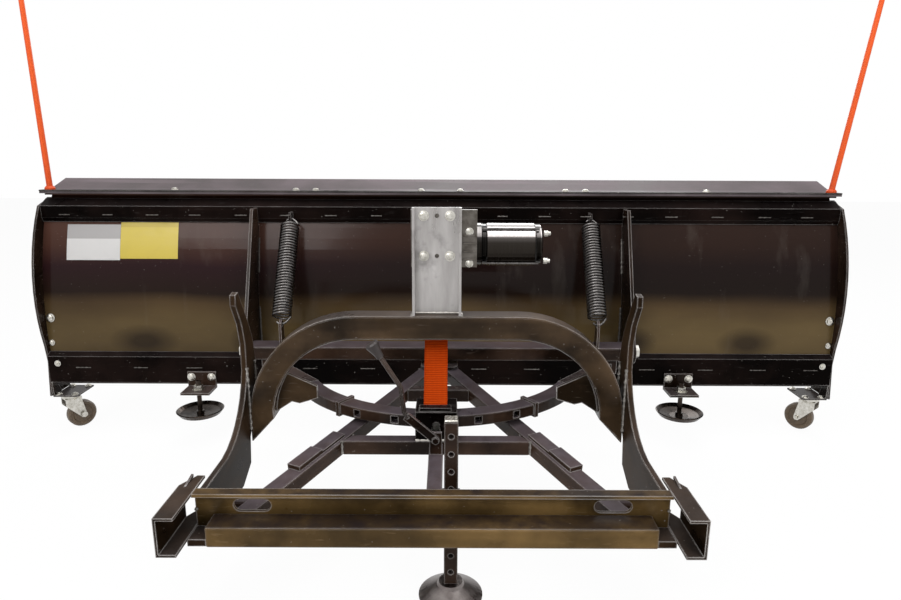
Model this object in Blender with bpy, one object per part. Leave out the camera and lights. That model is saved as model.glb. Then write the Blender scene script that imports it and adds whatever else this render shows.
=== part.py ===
"""Snow plow with an 84 inch trip blade, a manually angled push frame and a winch lift frame.

Metres, +Z up, the floor at Z = 0. +Y points to the blade's front and +X to the plow's right as
seen from the vehicle. The shapes below are written with the swing axis (king pin) at X = Y = 0;
the root empty then moves everything so that the origin is the middle of the bounding box's base.
"""

import math

import bmesh
import bpy
from mathutils import Matrix, Vector

# Clearances
GAP = 0.0003  # between pieces that rest on, or are welded to, each other
RUN = 0.0005  # between a pin and its hole

# Blade: its moldboard is an arc that is hollow towards +Y
BLADE_WIDTH = 2.1336
MOLD_RADIUS = 0.850
MOLD_REAR_Y = 0.110  # rearmost point of the moldboard's rear surface
MOLD_REAR_Z = 0.290
MOLD_SHEET = 0.0035
MOLD_BOTTOM_Z = 0.145
LIP_Z = 0.650  # underside of the lip that carries the deflector
LIP_REACH = 0.032  # how far the lip stands back from the moldboard's top
LIP_INSET = 0.013  # how much shorter the lip is than the moldboard, each end
END_SHEET = 0.006
EDGE_BOTTOM_Z = 0.133
EDGE_HEIGHT = 0.076
EDGE_THICK = 0.010
STIFF_SHEET = 0.004
FLANGE_REACH = 0.040
FLANGE_REAR_Z = LIP_Z - 0.028
FLANGE_HEIGHT = 0.043
LOWER_REAR_Y = 0.093
LOWER_TOP_Z = 0.223
LOWER_BOTTOM_Z = 0.149
RIB_X = 0.488
RIB_SHEET = 0.008
RIB_TOP_GAP = 0.005  # below the flange
RIB_TOP_DEPTH = 0.040  # behind the flange
RIB_BOTTOM_Z = 0.236
EAR_RADIUS = 0.031

# Snow deflector, its clamp strip and the markers
RUBBER_INSET = 0.0058  # from the blade's ends
RUBBER_THICK = 0.005
RUBBER_DEPTH = 0.130
RUBBER_RISE = 0.030
STRIP_WIDTH = 0.030
STRIP_THICK = 0.004
MARKER_INSET = 0.0268
MARKER_LENGTH = 0.610
MARKER_RADIUS = 0.0075
MARKER_LEANS = {"left": 1.2, "right": 7.5}  # degrees outwards, as the flexible rods stand
MARKER_BASE_RADIUS = 0.013

# Skid shoes
SKID_X = 0.645
SKID_ARM = 0.062
SKID_PLATE_Z = 0.137
SKID_PLATE = 0.006
SKID_WIDTH = 0.076
SKID_STUD_Y = 0.060
SKID_STUD_RADIUS = 0.006
SKID_STUD_TOP = 0.168
SKID_DISC_RADIUS = 0.0615
SKID_DISC_Z = 0.070
SKID_BOLT_PITCH = 0.054
SKID_BOLT_Z = 0.169

# Casters
CASTER_PLATE_Z = 0.105
CASTER_PLATE = 0.004
CASTER_PLATE_LENGTH = 0.0655
CASTER_REAR_Y = 0.097
CASTER_FRONT_Y = 0.182
CASTER_INSET = 0.0308
CASTER_Y = 0.135
CASTER_TRAIL = 0.022
CASTER_TURN = 40.0  # degrees that the wheels stand turned in, from straight ahead
WHEEL_RADIUS = 0.0375
WHEEL_WIDTH = 0.024
AXLE_RADIUS = 0.004
FORK_SHEET = 0.0025

# Trip frame: a cross tube on the trip axis and the curved angle sector
TRIP_Z = 0.273
TRIP_TUBE_DEPTH = 0.060
TRIP_TUBE_HEIGHT = 0.034
TRIP_TUBE_HALF = 0.4795
TRIP_BOLT_RADIUS = 0.010
SECTOR_RADIUS = 0.355
SECTOR_DEPTH = 0.040
SECTOR_BOTTOM_Z = 0.2213
SECTOR_HEIGHT = 0.025
SECTOR_END = 62.0
STOP_ANGLE = 36.0
NOTCH_STEP = 14.0
NOTCH_WIDTH = 0.015
NOTCH_DEPTH = 0.018
ARM_WIDTH = 0.036
SPRING_X = 0.395
SPRING_RADIUS = 0.0245
SPRING_WIRE = 0.0052
SPRING_COILS = 34
SPRING_STEPS = 10  # straight pieces in one coil
SPRING_HOOK = 0.0178  # how far the hook's crossbar stands out from the last coil
SPRING_DROP = 0.020  # from the flange's corner to the ear of the spring
SPRING_FOOT = (-0.014, 0.344)

# Push frame: it rises towards the king pin
PUSH_TOP_Z = 0.2427  # top of its tubes, at the king pin
PUSH_SLOPE = 0.1167
PUSH_SPREAD = 0.5267
PUSH_OUTER_X = 0.0304  # outer edge of a diagonal, at the king pin
PUSH_TUBE_WIDTH = 0.035
PUSH_TUBE_HEIGHT = 0.030
PUSH_FRONT_Y = -0.030
PUSH_REAR_Y = -0.590
PUSH_PADS = ((-0.385, 0.075, 0.005), (-0.440, 0.060, 0.009))  # middle, length, height above the tube
APEX_Z = 0.2396
APEX_PLATE = 0.007
APEX_HALF = 0.046
KING_RADIUS = 0.010
FRONT_BAR_Y = -0.140
MID_TUBE_Y = -0.360
CROSS_DEPTH = 0.030
CENTRE_HALF = 0.014
CENTRE_REAR_Y = -0.5885

# Angle lock
HOUSING_HALF = 0.042
HOUSING_SHEET = 0.006
HOUSING_TOP_Z = 0.262
HOUSING_REAR_Y = -0.297
HOUSING_FRONT_Y = -0.372
PIN_RADIUS = 0.006
PIN_TIP_Y = -0.3575  # withdrawn, just clear of the sector
PIN_TAIL_Y = -0.3945
LUG_Y = -0.418
LUG_SHEET = 0.006
LEVER_PIVOT_Z = 0.226
LEVER_SHEET = 0.006
LEVER_PIN_RADIUS = 0.004
ROD_RADIUS = 0.0048
LEVER_ROUTE = ((-0.052, 0.271), (-0.060, 0.283), (-0.066, 0.333), (-0.103, 0.392))
KNOB_LENGTH = 0.032

# Jack
JACK_Y = -0.573
JACK_SIDE = 0.0236
JACK_RUN = 0.0004
JACK_TOP_Z = 0.333
JACK_HOLE_Z = 0.054
JACK_HOLE_PITCH = 0.03175
JACK_HOLES = 9
JACK_HOLE_RADIUS = 0.0048
SLEEVE_WALL = 0.003
JACK_X = CENTRE_HALF + 2 * GAP + JACK_SIDE / 2 + JACK_RUN + SLEEVE_WALL
SLEEVE_BOTTOM_Z = 0.135
SLEEVE_TOP_Z = 0.200
FOOT_RADIUS = 0.0565
FOOT_HEIGHT = 0.030

# Lift frame
LIFT_Y = -0.545
LIFT_Z = 0.163
LIFT_BOLT_RADIUS = 0.008
BUSH_RADIUS = 0.015
PLATE_X = 0.388  # inner face of the side plates
PLATE_SHEET = 0.012
BASE_REAR_Y = -0.615
BASE_SHEET = 0.006
BASE_TOP_Z = 0.230
BASE_LIP = 0.020
BAR_DEPTH = 0.044
BAR_TOP_Z = 0.189
BAR_BOTTOM_Z = 0.154
BAR_HALF = 0.359
SLOT_X = 0.295
SLOT_Z = 0.203
SLOT_LENGTH = 0.062
SLOT_HEIGHT = 0.022
GUIDE_OUTER_X = 0.419
GUIDE_SHEET = 0.0045
GUIDE_BOTTOM_Z = 0.164
GUIDE_FRONT_Y = -0.706
GUIDE_REAR_Y = -0.572
ARCH_SIDE = 0.050
ARCH_FRONT_Y = -0.320
ARCH_TOP_Z = 0.445
ARCH_RADIUS = 0.220
ARCH_LEG_Z = 0.170
GUSSET_SHEET = 0.008

# Winch and its channel
CHANNEL_HALF = 0.049
CHANNEL_SHEET = 0.005
CHANNEL_WEB_Y = -0.290  # rear face of its web
CHANNEL_TOP_Z = 0.660
CHANNEL_TOP_DEPTH = 0.014
CHANNEL_FOOT_DEPTH = 0.028
WINCH_BOLT_X = 0.026
WINCH_BOLT_Z = (0.5635, 0.6435)
WINCH_Y = -0.228
WINCH_Z = 0.578
GEARBOX_INNER_X = 0.050
GEARBOX_OUTER_X = 0.080
MOTOR_RADIUS = 0.044
MOTOR_END_X = 0.216
DRUM_RADIUS = 0.030
STRAP_WIDTH = 0.048
STRAP_THICK = 0.0025
STRAP_X = -0.002

SIDES = (("left", -1), ("right", 1))
ROUND = 24  # sides of a round piece
ROOT = None


# ---------------------------------------------------------------- scene and materials


def clear_scene():
    for obj in list(bpy.data.objects):
        bpy.data.objects.remove(obj, do_unlink=True)


def make_material(name, colour, roughness, metallic):
    made = bpy.data.materials.new(name)
    made.use_nodes = True
    shader = made.node_tree.nodes["Principled BSDF"]
    shader.inputs["Base Color"].default_value = (*colour, 1)
    shader.inputs["Roughness"].default_value = roughness
    shader.inputs["Metallic"].default_value = metallic
    made.diffuse_color = (*colour, 1)
    return made


FINISHES = {
    "paint": ((0.012, 0.010, 0.009), 0.25, 0.0),
    "zinc": ((0.62, 0.60, 0.55), 0.35, 1.0),
    "steel": ((0.11, 0.105, 0.10), 0.30, 1.0),
    "rubber": ((0.045, 0.040, 0.040), 0.70, 0.0),
    "orange": ((0.85, 0.13, 0.03), 0.45, 0.0),
    "webbing": ((0.70, 0.10, 0.01), 0.85, 0.0),
    "tread": ((0.10, 0.075, 0.055), 0.65, 0.0),
}


def empty(name, place, parent=None):
    made = bpy.data.objects.new(name, None)
    made.empty_display_size = 0.05
    bpy.context.scene.collection.objects.link(made)
    made.parent = parent
    origin = parent["place"] if parent else (0, 0, 0)
    made["place"] = place
    made.location = Vector(place) - Vector(origin)
    return made


def add(name, mesh_data, finish=None, body=None):
    """Links a mesh that is written in the plow's own coordinates under the empty of its body."""
    mesh = bpy.data.meshes.new(name)
    mesh_data.to_mesh(mesh)
    mesh_data.free()
    obj = bpy.data.objects.new(name, mesh)
    bpy.context.scene.collection.objects.link(obj)
    holder = body or ROOT
    obj.parent = holder
    obj.location = -Vector(holder["place"])
    if finish:
        mesh.materials.append(make_material(name + "_" + finish, *FINISHES[finish]))
    return obj


def helper(shape, name):
    """A shape that is only joined to or cut from another piece."""
    obj = add(name, shape)
    obj.hide_render = True
    obj.display_type = "WIRE"
    return obj


def change(obj, shapes, operation):
    for count, shape in enumerate(shapes):
        other = helper(shape, f"{obj.name}_{operation.lower()}_{count}")
        modifier = obj.modifiers.new(other.name, "BOOLEAN")
        modifier.operation = operation
        modifier.solver = "EXACT"
        modifier.object = other
    return obj


def cut(obj, *shapes):
    return change(obj, shapes, "DIFFERENCE")


def fuse(obj, *shapes):
    return change(obj, shapes, "UNION")


def soften(obj, width=0.0015, segments=2):
    """Rounds the long corners, as on rolled tube and cut plate."""
    modifier = obj.modifiers.new("rounding", "BEVEL")
    modifier.width = width
    modifier.segments = segments
    modifier.limit_method = "ANGLE"
    modifier.angle_limit = math.radians(50)
    return obj


def shade_round(obj):
    obj.data.shade_smooth()
    obj.data.set_sharp_from_angle(angle=math.radians(35))
    return obj


# ---------------------------------------------------------------- shapes


def closed(shape):
    bmesh.ops.recalc_face_normals(shape, faces=shape.faces)
    return shape


def prism(outline, start, end, axis="X"):
    """A closed outline drawn across one axis and extruded along it."""
    spots = {
        "X": lambda a, b, t: (t, a, b),
        "Y": lambda a, b, t: (a, t, b),
        "Z": lambda a, b, t: (a, b, t),
    }[axis]
    shape = bmesh.new()
    near = [shape.verts.new(spots(a, b, start)) for a, b in outline]
    far = [shape.verts.new(spots(a, b, end)) for a, b in outline]
    shape.faces.new(near)
    shape.faces.new(list(reversed(far)))
    for here, following in zip(range(len(near)), list(range(1, len(near))) + [0]):
        shape.faces.new((near[here], near[following], far[following], far[here]))
    return closed(shape)


def block(low, high):
    (x0, y0, z0), (x1, y1, z1) = low, high
    return prism([(x0, y0), (x1, y0), (x1, y1), (x0, y1)], z0, z1, "Z")


def turned(profile, base, direction, sides=ROUND):
    """A profile of (radius, distance) turned about the line from base along direction."""
    shape = bmesh.new()
    rings = []
    for radius, distance in profile:
        if radius == 0:
            rings.append([shape.verts.new((0, 0, distance))])
            continue
        turns = [2 * math.pi * (step + 0.5) / sides for step in range(sides)]
        ring = [(radius * math.cos(a), radius * math.sin(a), distance) for a in turns]
        rings.append([shape.verts.new(spot) for spot in ring])
    for lower, upper in zip(rings, rings[1:]):
        for step in range(sides):
            after = (step + 1) % sides
            corners = [lower[step % len(lower)], lower[after % len(lower)]]
            corners += [upper[after % len(upper)], upper[step % len(upper)]]
            unique = list(dict.fromkeys(corners))
            shape.faces.new(unique)
    turn = Vector(direction).to_track_quat("Z", "Y").to_matrix().to_4x4()
    bmesh.ops.transform(shape, matrix=Matrix.Translation(base) @ turn, verts=shape.verts)
    return closed(shape)


def rod(start, end, radius, sides=ROUND):
    reach = Vector(end) - Vector(start)
    profile = [(0, 0), (radius, 0), (radius, reach.length), (0, reach.length)]
    return turned(profile, start, reach, sides)


def hex_bolt(face, direction, shank, length, head, head_height):
    """A shank that goes back from the face along -direction, and a hexagon head in front of it."""
    way = Vector(direction).normalized()
    start = Vector(face) - way * length
    shape = rod(start, Vector(face) + way * 0.0005, shank, 16)
    top = turned([(0, 0), (head, 0), (head, head_height), (0, head_height)], face, way, 6)
    return shape, top


def beam(start, end, width, height):
    """A rectangular bar between two points on its axis, its width level."""
    start, end = Vector(start), Vector(end)
    way = (end - start).normalized()
    side = way.cross(Vector((0, 0, 1))).normalized() * (width / 2)
    up = side.cross(way).normalized() * (height / 2)
    shape = bmesh.new()
    rings = []
    for spot in (start, end):
        corners = (side + up, side - up, -side - up, -side + up)
        rings.append([shape.verts.new(spot + corner) for corner in corners])
    shape.faces.new(rings[0])
    shape.faces.new(list(reversed(rings[1])))
    for here in range(4):
        after = (here + 1) % 4
        shape.faces.new((rings[0][here], rings[0][after], rings[1][after], rings[1][here]))
    return closed(shape)


def bent_rod(route, radius, sides=10):
    """A round bar through the points of a route, with mitred bends."""
    points = [Vector(spot) for spot in route]
    shape = bmesh.new()
    rings = []
    side = (points[1] - points[0]).orthogonal().normalized()
    for count, spot in enumerate(points):
        before = points[max(count - 1, 0)]
        after = points[min(count + 1, len(points) - 1)]
        way = (after - before).normalized()
        side = (side - way * side.dot(way)).normalized()
        up = side.cross(way)
        ring = []
        for step in range(sides):
            turn = 2 * math.pi * step / sides
            ring.append(shape.verts.new(spot + (side * math.cos(turn) + up * math.sin(turn)) * radius))
        rings.append(ring)
    shape.faces.new(rings[0])
    shape.faces.new(list(reversed(rings[-1])))
    for lower, upper in zip(rings, rings[1:]):
        for step in range(sides):
            after = (step + 1) % sides
            shape.faces.new((lower[step], lower[after], upper[after], upper[step]))
    return closed(shape)


def arc(centre, radius, start, end, steps):
    """Points of an arc; the angles are in degrees."""
    turns = [math.radians(start + (end - start) * n / steps) for n in range(steps + 1)]
    return [(centre[0] + radius * math.cos(a), centre[1] + radius * math.sin(a)) for a in turns]


def arc_through(first, middle, last, steps):
    """Points of the arc through three points."""
    (ax, ay), (bx, by), (cx, cy) = first, middle, last
    double = 2 * (ax * (by - cy) + bx * (cy - ay) + cx * (ay - by))
    a2, b2, c2 = ax**2 + ay**2, bx**2 + by**2, cx**2 + cy**2
    x = (a2 * (by - cy) + b2 * (cy - ay) + c2 * (ay - by)) / double
    y = (a2 * (cx - bx) + b2 * (ax - cx) + c2 * (bx - ax)) / double
    start = math.atan2(ay - y, ax - x)
    sweep = math.atan2(cy - y, cx - x) - start
    through = math.atan2(by - y, bx - x) - start
    turn = 2 * math.pi
    if not (0 < through % turn < sweep % turn):
        sweep = sweep % turn - turn
    else:
        sweep = sweep % turn
    degrees = math.degrees(start)
    return arc((x, y), math.hypot(ax - x, ay - y), degrees, degrees + math.degrees(sweep), steps)


def sheet(path, thickness):
    """The outline of a bent sheet: a path along one face, and the same path one thickness to its left."""
    points = [Vector(spot) for spot in path]
    normals = []
    for here, after in zip(points, points[1:]):
        way = (after - here).normalized()
        normals.append(Vector((-way.y, way.x)))
    other = [points[0] + normals[0] * thickness]
    for spot, one, two in zip(points[1:-1], normals, normals[1:]):
        middle = (one + two).normalized()
        other.append(spot + middle * (thickness / middle.dot(one)))
    other.append(points[-1] + normals[-1] * thickness)
    return [tuple(spot) for spot in points + list(reversed(other))]


def mirrored(outline, sign):
    return [(sign * a, b) for a, b in outline]


# ---------------------------------------------------------------- blade


def mold_y(z, forward=0.0):
    """Y of the moldboard's rear surface at a height, or of a surface that lies forward of it."""
    radius = MOLD_RADIUS - forward
    return MOLD_REAR_Y + MOLD_RADIUS - math.sqrt(radius**2 - (z - MOLD_REAR_Z) ** 2)


def lip_rear_y():
    return mold_y(LIP_Z) - LIP_REACH


def flange_rear_y():
    return mold_y(LIP_Z) - FLANGE_REACH


def spring_top():
    return flange_rear_y(), FLANGE_REAR_Z - SPRING_DROP


def rubber_half():
    return BLADE_WIDTH / 2 - RUBBER_INSET


def marker_x():
    return BLADE_WIDTH / 2 - MARKER_INSET


def heights(low, high, steps):
    return [low + (high - low) * n / steps for n in range(steps + 1)]


def make_moldboard(body):
    front = MOLD_SHEET
    top = LIP_Z + MOLD_SHEET
    outline = [(mold_y(z), z) for z in heights(MOLD_BOTTOM_Z, LIP_Z, 18)]
    outline += [(lip_rear_y(), LIP_Z), (lip_rear_y(), top)]
    outline += [(mold_y(z, front), z) for z in heights(top, MOLD_BOTTOM_Z, 18)]
    half = BLADE_WIDTH / 2 - END_SHEET - GAP
    moldboard = add("moldboard", prism(outline, -half, half), "paint", body)
    corner = FLANGE_REAR_Z + 0.020
    for _, sign in SIDES:
        inner = sign * (half - LIP_INSET)
        outer = sign * (half + 0.01)
        ends = sorted((inner, outer))
        cut(moldboard, block((ends[0], 0.1, corner), (ends[1], 0.3, top + 0.02)))
    half_edge = half - 0.002
    foot, head = EDGE_BOTTOM_Z, EDGE_BOTTOM_Z + EDGE_HEIGHT
    seat = max(foot, MOLD_BOTTOM_Z)
    line = [(mold_y(z, front) + 2 * GAP, z) for z in (seat, head)]
    slope = (line[1][0] - line[0][0]) / (line[1][1] - line[0][1])
    low = (line[0][0] + slope * (foot - seat), foot)
    edge = sheet([line[1], low], EDGE_THICK)
    soften(add("cutting_edge", prism(edge, -half_edge, half_edge), "paint", body), 0.001)


def toe(near, z, turn):
    """Where a stiffener's leg from near stops, a gap short of the moldboard; its sheet lies to the left if turn is 1."""
    y = mold_y(z) - GAP
    for _ in range(4):
        way = Vector((y - near[0], z - near[1])).normalized()
        side = Vector((-way.y, way.x)) * (turn * STIFF_SHEET)
        y = min(mold_y(z), mold_y(z + side.y) - side.x) - GAP
    return y, z


def make_stiffeners(body):
    half = BLADE_WIDTH / 2 - END_SHEET - GAP
    top_z = FLANGE_REAR_Z + 0.018
    corner = (flange_rear_y(), FLANGE_REAR_Z)
    path = [toe(corner, top_z, -1)]
    foot_z = FLANGE_REAR_Z - FLANGE_HEIGHT
    bend = (flange_rear_y() + 0.002, foot_z + 0.011)
    path += [corner, bend, toe(bend, foot_z, 1)]
    outline = sheet(path, STIFF_SHEET)
    flange = add("upper_flange", prism(outline, -half, half), "paint", body)
    y, z = spring_top()
    for _, sign in SIDES:
        x = sign * SPRING_X
        ear = [(y + 0.010, z + 0.006), (y - 0.018, z + 0.006), (y - 0.024, z - 0.006)]
        ear += [(y - 0.018, z - 0.020), (y + 0.005, z - 0.014)]
        fuse(flange, prism(ear, x - 0.003, x + 0.003))
        cut(flange, rod((x - 0.01, y - 0.013, z - 0.007), (x + 0.01, y - 0.013, z - 0.007), 0.0052, 12))
    top, bottom = (LOWER_REAR_Y, LOWER_TOP_Z), (LOWER_REAR_Y, LOWER_BOTTOM_Z)
    path = [toe(top, LOWER_TOP_Z + 0.010, -1), top, bottom, toe(bottom, LOWER_BOTTOM_Z, 1)]
    outline = sheet(path, STIFF_SHEET)
    lower = add("lower_stiffener", prism(outline, -half, half), "paint", body)
    for _, sign in SIDES:
        for step in (-0.5, 0.5):
            x = sign * SKID_X + step * SKID_BOLT_PITCH
            low = (x, LOWER_REAR_Y - 0.01, SKID_BOLT_Z)
            cut(lower, rod(low, (x, LOWER_REAR_Y + 0.01, SKID_BOLT_Z), 0.0055, 12))


def make_end_plates(body):
    rear = arc_through((flange_rear_y() - 0.002, FLANGE_REAR_Z), (0.082, 0.402), (0.096, 0.250), 10)
    rear += [(0.102, 0.205), (0.092, 0.109)]
    foot = [(0.182, 0.109), (0.178, 0.122), (0.150, EDGE_BOTTOM_Z)]
    front = [(mold_y(z, MOLD_SHEET + 0.012), z) for z in heights(0.150, LIP_Z - 0.010, 12)]
    outline = rear + foot + front
    for side, sign in SIDES:
        outer = sign * BLADE_WIDTH / 2
        inner = sign * (BLADE_WIDTH / 2 - END_SHEET)
        plate = add(f"end_plate_{side}", prism(outline, inner, outer), "paint", body)
        soften(plate, 0.001, 1)


def rib_outline():
    """From the moldboard, below and behind the flange, down to an ear round the trip axis."""
    top = FLANGE_REAR_Z - FLANGE_HEIGHT - RIB_TOP_GAP
    front = [(mold_y(z) - GAP - 0.0002, z) for z in heights(RIB_BOTTOM_Z, top, 10)]
    behind = flange_rear_y() - 2 * GAP
    head = [(behind, top), (behind, FLANGE_REAR_Z - 0.003), (behind - RIB_TOP_DEPTH, FLANGE_REAR_Z - 0.003)]
    return front + head + arc((0, TRIP_Z), EAR_RADIUS, 125, 285, 10)


def make_ribs(body):
    for side, sign in SIDES:
        near, far = sign * (RIB_X - RIB_SHEET / 2), sign * (RIB_X + RIB_SHEET / 2)
        rib = add(f"rib_{side}", prism(rib_outline(), near, far), "paint", body)
        hole = rod((near - sign * 0.01, 0, TRIP_Z), (far + sign * 0.01, 0, TRIP_Z),
                   TRIP_BOLT_RADIUS + RUN)
        cut(rib, hole)


def marker_profile():
    end = MARKER_LENGTH - 0.006
    return [(0, 0), (MARKER_RADIUS, 0), (MARKER_RADIUS * 0.8, end - 0.006), (MARKER_RADIUS * 0.45, end), (0, end)]


def make_deflector(body):
    base = LIP_Z + MOLD_SHEET + GAP
    rear = lip_rear_y() - 0.001
    bend = rear + STRIP_WIDTH
    rise = [(rear + RUBBER_DEPTH, base + RUBBER_RISE), (bend + 0.030, base + 0.006)]
    outline = sheet([(rear, base), (bend, base), (rise[1][0], rise[1][1]), rise[0]], RUBBER_THICK)
    rubber = prism(outline, -rubber_half(), rubber_half())
    add("snow_deflector", rubber, "rubber", body)
    low = base + RUBBER_THICK + GAP
    strip = block((-rubber_half(), rear - 0.002, low),
                  (rubber_half(), rear - 0.002 + STRIP_WIDTH, low + STRIP_THICK))
    soften(add("clamp_strip", strip, "paint", body), 0.0008, 1)
    for side, sign in SIDES:
        lean = math.radians(MARKER_LEANS[side])
        way = Vector((sign * math.sin(lean), 0, math.cos(lean)))
        foot = Vector((sign * marker_x(), rear + STRIP_WIDTH / 2, low + STRIP_THICK + GAP))
        nut = turned([(0, 0), (MARKER_BASE_RADIUS, 0), (MARKER_BASE_RADIUS, 0.004),
                      (0.009, 0.009), (0, 0.009)], foot, (0, 0, 1), 16)
        marker = add(f"marker_{side}", nut, "orange", body)
        start = foot + Vector((0, 0, 0.003))
        fuse(marker, turned(marker_profile(), start, way, 16))


def spring_route(length):
    """The wire of a spring along Z: a hook, the coils, and a hook the other way up."""
    mean = SPRING_RADIUS - SPRING_WIRE / 2
    hook = ((-0.0105, 0.013), (-0.004, SPRING_HOOK), (0.004, SPRING_HOOK), (0.0105, 0.0145), (0.0185, 0.006))
    route = [(x, 0, -drop) for x, drop in hook]
    for step in range(SPRING_COILS * SPRING_STEPS + 1):
        turn = 2 * math.pi * step / SPRING_STEPS
        rise = length * step / (SPRING_COILS * SPRING_STEPS)
        route.append((mean * math.cos(turn), mean * math.sin(turn), rise))
    return route + [(x, 0, length + drop) for x, drop in reversed(hook)]


def make_springs(body):
    top = Vector((0, spring_top()[0] - 0.013, spring_top()[1] - 0.007))
    foot = Vector((0, SPRING_FOOT[0], SPRING_FOOT[1]))
    way = (top - foot).normalized()
    across = Vector((1, 0, 0))
    for side, sign in SIDES:
        start = foot + way * 0.020 + across * (sign * SPRING_X)
        wire = bent_rod(spring_route((top - foot).length - 0.040), SPRING_WIRE / 2, 5)
        third = way.cross(across)
        turn = Matrix((across, third, way)).transposed().to_4x4()
        bmesh.ops.transform(wire, matrix=Matrix.Translation(start) @ turn, verts=wire.verts)
        shade_round(add(f"trip_spring_{side}", wire, "steel", body))


def make_skid(side, sign, blade):
    x = sign * SKID_X
    half = SKID_WIDTH / 2
    rear = LOWER_REAR_Y - GAP
    low, high = SKID_PLATE_Z, SKID_PLATE_Z + SKID_PLATE
    path = [(rear - SKID_ARM, low), (rear, low), (rear, SKID_BOLT_Z + 0.014)]
    bracket = add(f"skid_bracket_{side}", prism(sheet(path, SKID_PLATE), x - half, x + half),
                  "paint", blade)
    stud_y = SKID_STUD_Y
    cut(bracket, rod((x, stud_y, low - 0.01), (x, stud_y, high + 0.01), SKID_STUD_RADIUS + RUN, 16))
    place = (x, stud_y, 0)
    body = empty(f"skid_body_{side}", place, blade)
    z = SKID_DISC_Z
    radius = SKID_DISC_RADIUS
    profile = [(0, 0), (radius * 0.42, 0), (radius * 0.86, 0.006), (radius, 0.017),
               (radius - 0.003, 0.0185), (radius * 0.82, 0.010), (radius * 0.40, 0.005),
               (0.010, 0.005), (0.010, 0.014), (SKID_STUD_RADIUS, 0.014),
               (SKID_STUD_RADIUS, SKID_STUD_TOP - z), (0, SKID_STUD_TOP - z)]
    shoe = turned(profile, (x, stud_y, z), (0, 0, 1), 32)
    shade_round(add(f"skid_shoe_{side}", shoe, "steel", body))


def make_caster(side, sign, blade):
    outer = sign * (BLADE_WIDTH / 2 - END_SHEET - GAP)
    inner = outer - sign * CASTER_PLATE_LENGTH
    high = CASTER_PLATE_Z + CASTER_PLATE
    ends = sorted((outer, inner))
    plate = block((ends[0], CASTER_REAR_Y, CASTER_PLATE_Z), (ends[1], CASTER_FRONT_Y, high))
    bracket = add(f"caster_bracket_{side}", plate, "paint", blade)
    leg = sorted((outer, outer - sign * 0.005))
    upright = [(CASTER_REAR_Y, CASTER_PLATE_Z), (CASTER_FRONT_Y - 0.050, CASTER_PLATE_Z)]
    upright += [(0.118, 0.140), (0.1075, 0.1485), (0.0925, 0.1485), (CASTER_REAR_Y - 0.0045, 0.125)]
    fuse(bracket, prism(upright, leg[0], leg[1]))
    x, y = sign * (BLADE_WIDTH / 2 - CASTER_INSET), CASTER_Y
    turn = math.radians(CASTER_TURN)
    forward = Vector((-sign * math.sin(turn), math.cos(turn), 0))
    across = Vector((forward.y, -forward.x, 0))
    swivel = empty(f"caster_body_{side}", (x, y, 0), blade)
    hub = Vector((x, y, WHEEL_RADIUS)) + forward * CASTER_TRAIL
    top = CASTER_PLATE_Z - GAP
    crown = turned([(0, 0), (0.018, 0), (0.024, 0.008), (0.024, top - 0.086), (0, top - 0.086)],
                   (x, y, 0.086), (0, 0, 1), 20)
    cheek = WHEEL_WIDTH / 2 + 0.003
    frame = Matrix(((across.x, forward.x, 0, x), (across.y, forward.y, 0, y), (0, 0, 1, 0), (0, 0, 0, 1)))
    outline = [(-0.020, 0.0925), (-0.020, 0.070), (CASTER_TRAIL - 0.009, WHEEL_RADIUS - 0.004)]
    outline += [(CASTER_TRAIL - 0.004, WHEEL_RADIUS - 0.009), (CASTER_TRAIL + 0.004, WHEEL_RADIUS - 0.009)]
    outline += [(CASTER_TRAIL + 0.009, WHEEL_RADIUS - 0.004), (0.022, 0.078), (0.022, 0.0925)]
    wide = cheek + FORK_SHEET
    strip = [(cheek, 0.01), (cheek, 0.0885), (-cheek, 0.0885), (-cheek, 0.01)]
    channel = prism(sheet(strip, -FORK_SHEET), -0.03, 0.03, "Y")
    side_view = prism(outline, -wide - 0.01, wide + 0.01)
    for shape in (channel, side_view):
        bmesh.ops.transform(shape, matrix=frame, verts=shape.verts)
    fork = add(f"caster_fork_{side}", channel, "zinc", swivel)
    change(fork, [side_view], "INTERSECT")
    fuse(fork, crown)
    reach = across * (cheek + 0.010)
    cut(fork, rod(hub - reach, hub + reach, AXLE_RADIUS + RUN, 12))
    wheel_body = empty(f"wheel_body_{side}", tuple(hub), swivel)
    half = WHEEL_WIDTH / 2
    r = WHEEL_RADIUS
    bore = AXLE_RADIUS + RUN
    profile = [(bore, -half - 0.002), (0.011, -half - 0.002), (0.011, -half + 0.003), (0.024, -half + 0.003),
               (0.027, -half), (r - 0.004, -half), (r, -half + 0.005), (r, half - 0.005), (r - 0.004, half),
               (0.027, half), (0.024, half - 0.003), (0.011, half - 0.003), (0.011, half + 0.002),
               (bore, half + 0.002)]
    wheel = add(f"caster_wheel_{side}", ring_shape(profile, hub, across, 32), "tread", wheel_body)
    shade_round(wheel)
    axle, head = hex_bolt(tuple(hub + across * (cheek + FORK_SHEET + GAP)), across, AXLE_RADIUS,
                          2 * cheek + 2 * FORK_SHEET + 0.006, 0.0085, 0.006)
    bolt = add(f"caster_axle_{side}", axle, "zinc", swivel)
    fuse(bolt, head)


def ring_shape(profile, base, direction, sides):
    """A closed profile of (radius, distance), none of it on the axis, turned into a ring."""
    shape = bmesh.new()
    rings = []
    for radius, distance in profile:
        turns = [2 * math.pi * step / sides for step in range(sides)]
        ring = [(radius * math.cos(a), radius * math.sin(a), distance) for a in turns]
        rings.append([shape.verts.new(spot) for spot in ring])
    for lower, upper in zip(rings, rings[1:] + rings[:1]):
        for step in range(sides):
            after = (step + 1) % sides
            shape.faces.new((lower[step], lower[after], upper[after], upper[step]))
    turn = Vector(direction).to_track_quat("Z", "Y").to_matrix().to_4x4()
    bmesh.ops.transform(shape, matrix=Matrix.Translation(base) @ turn, verts=shape.verts)
    return closed(shape)


# ---------------------------------------------------------------- trip frame


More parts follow.
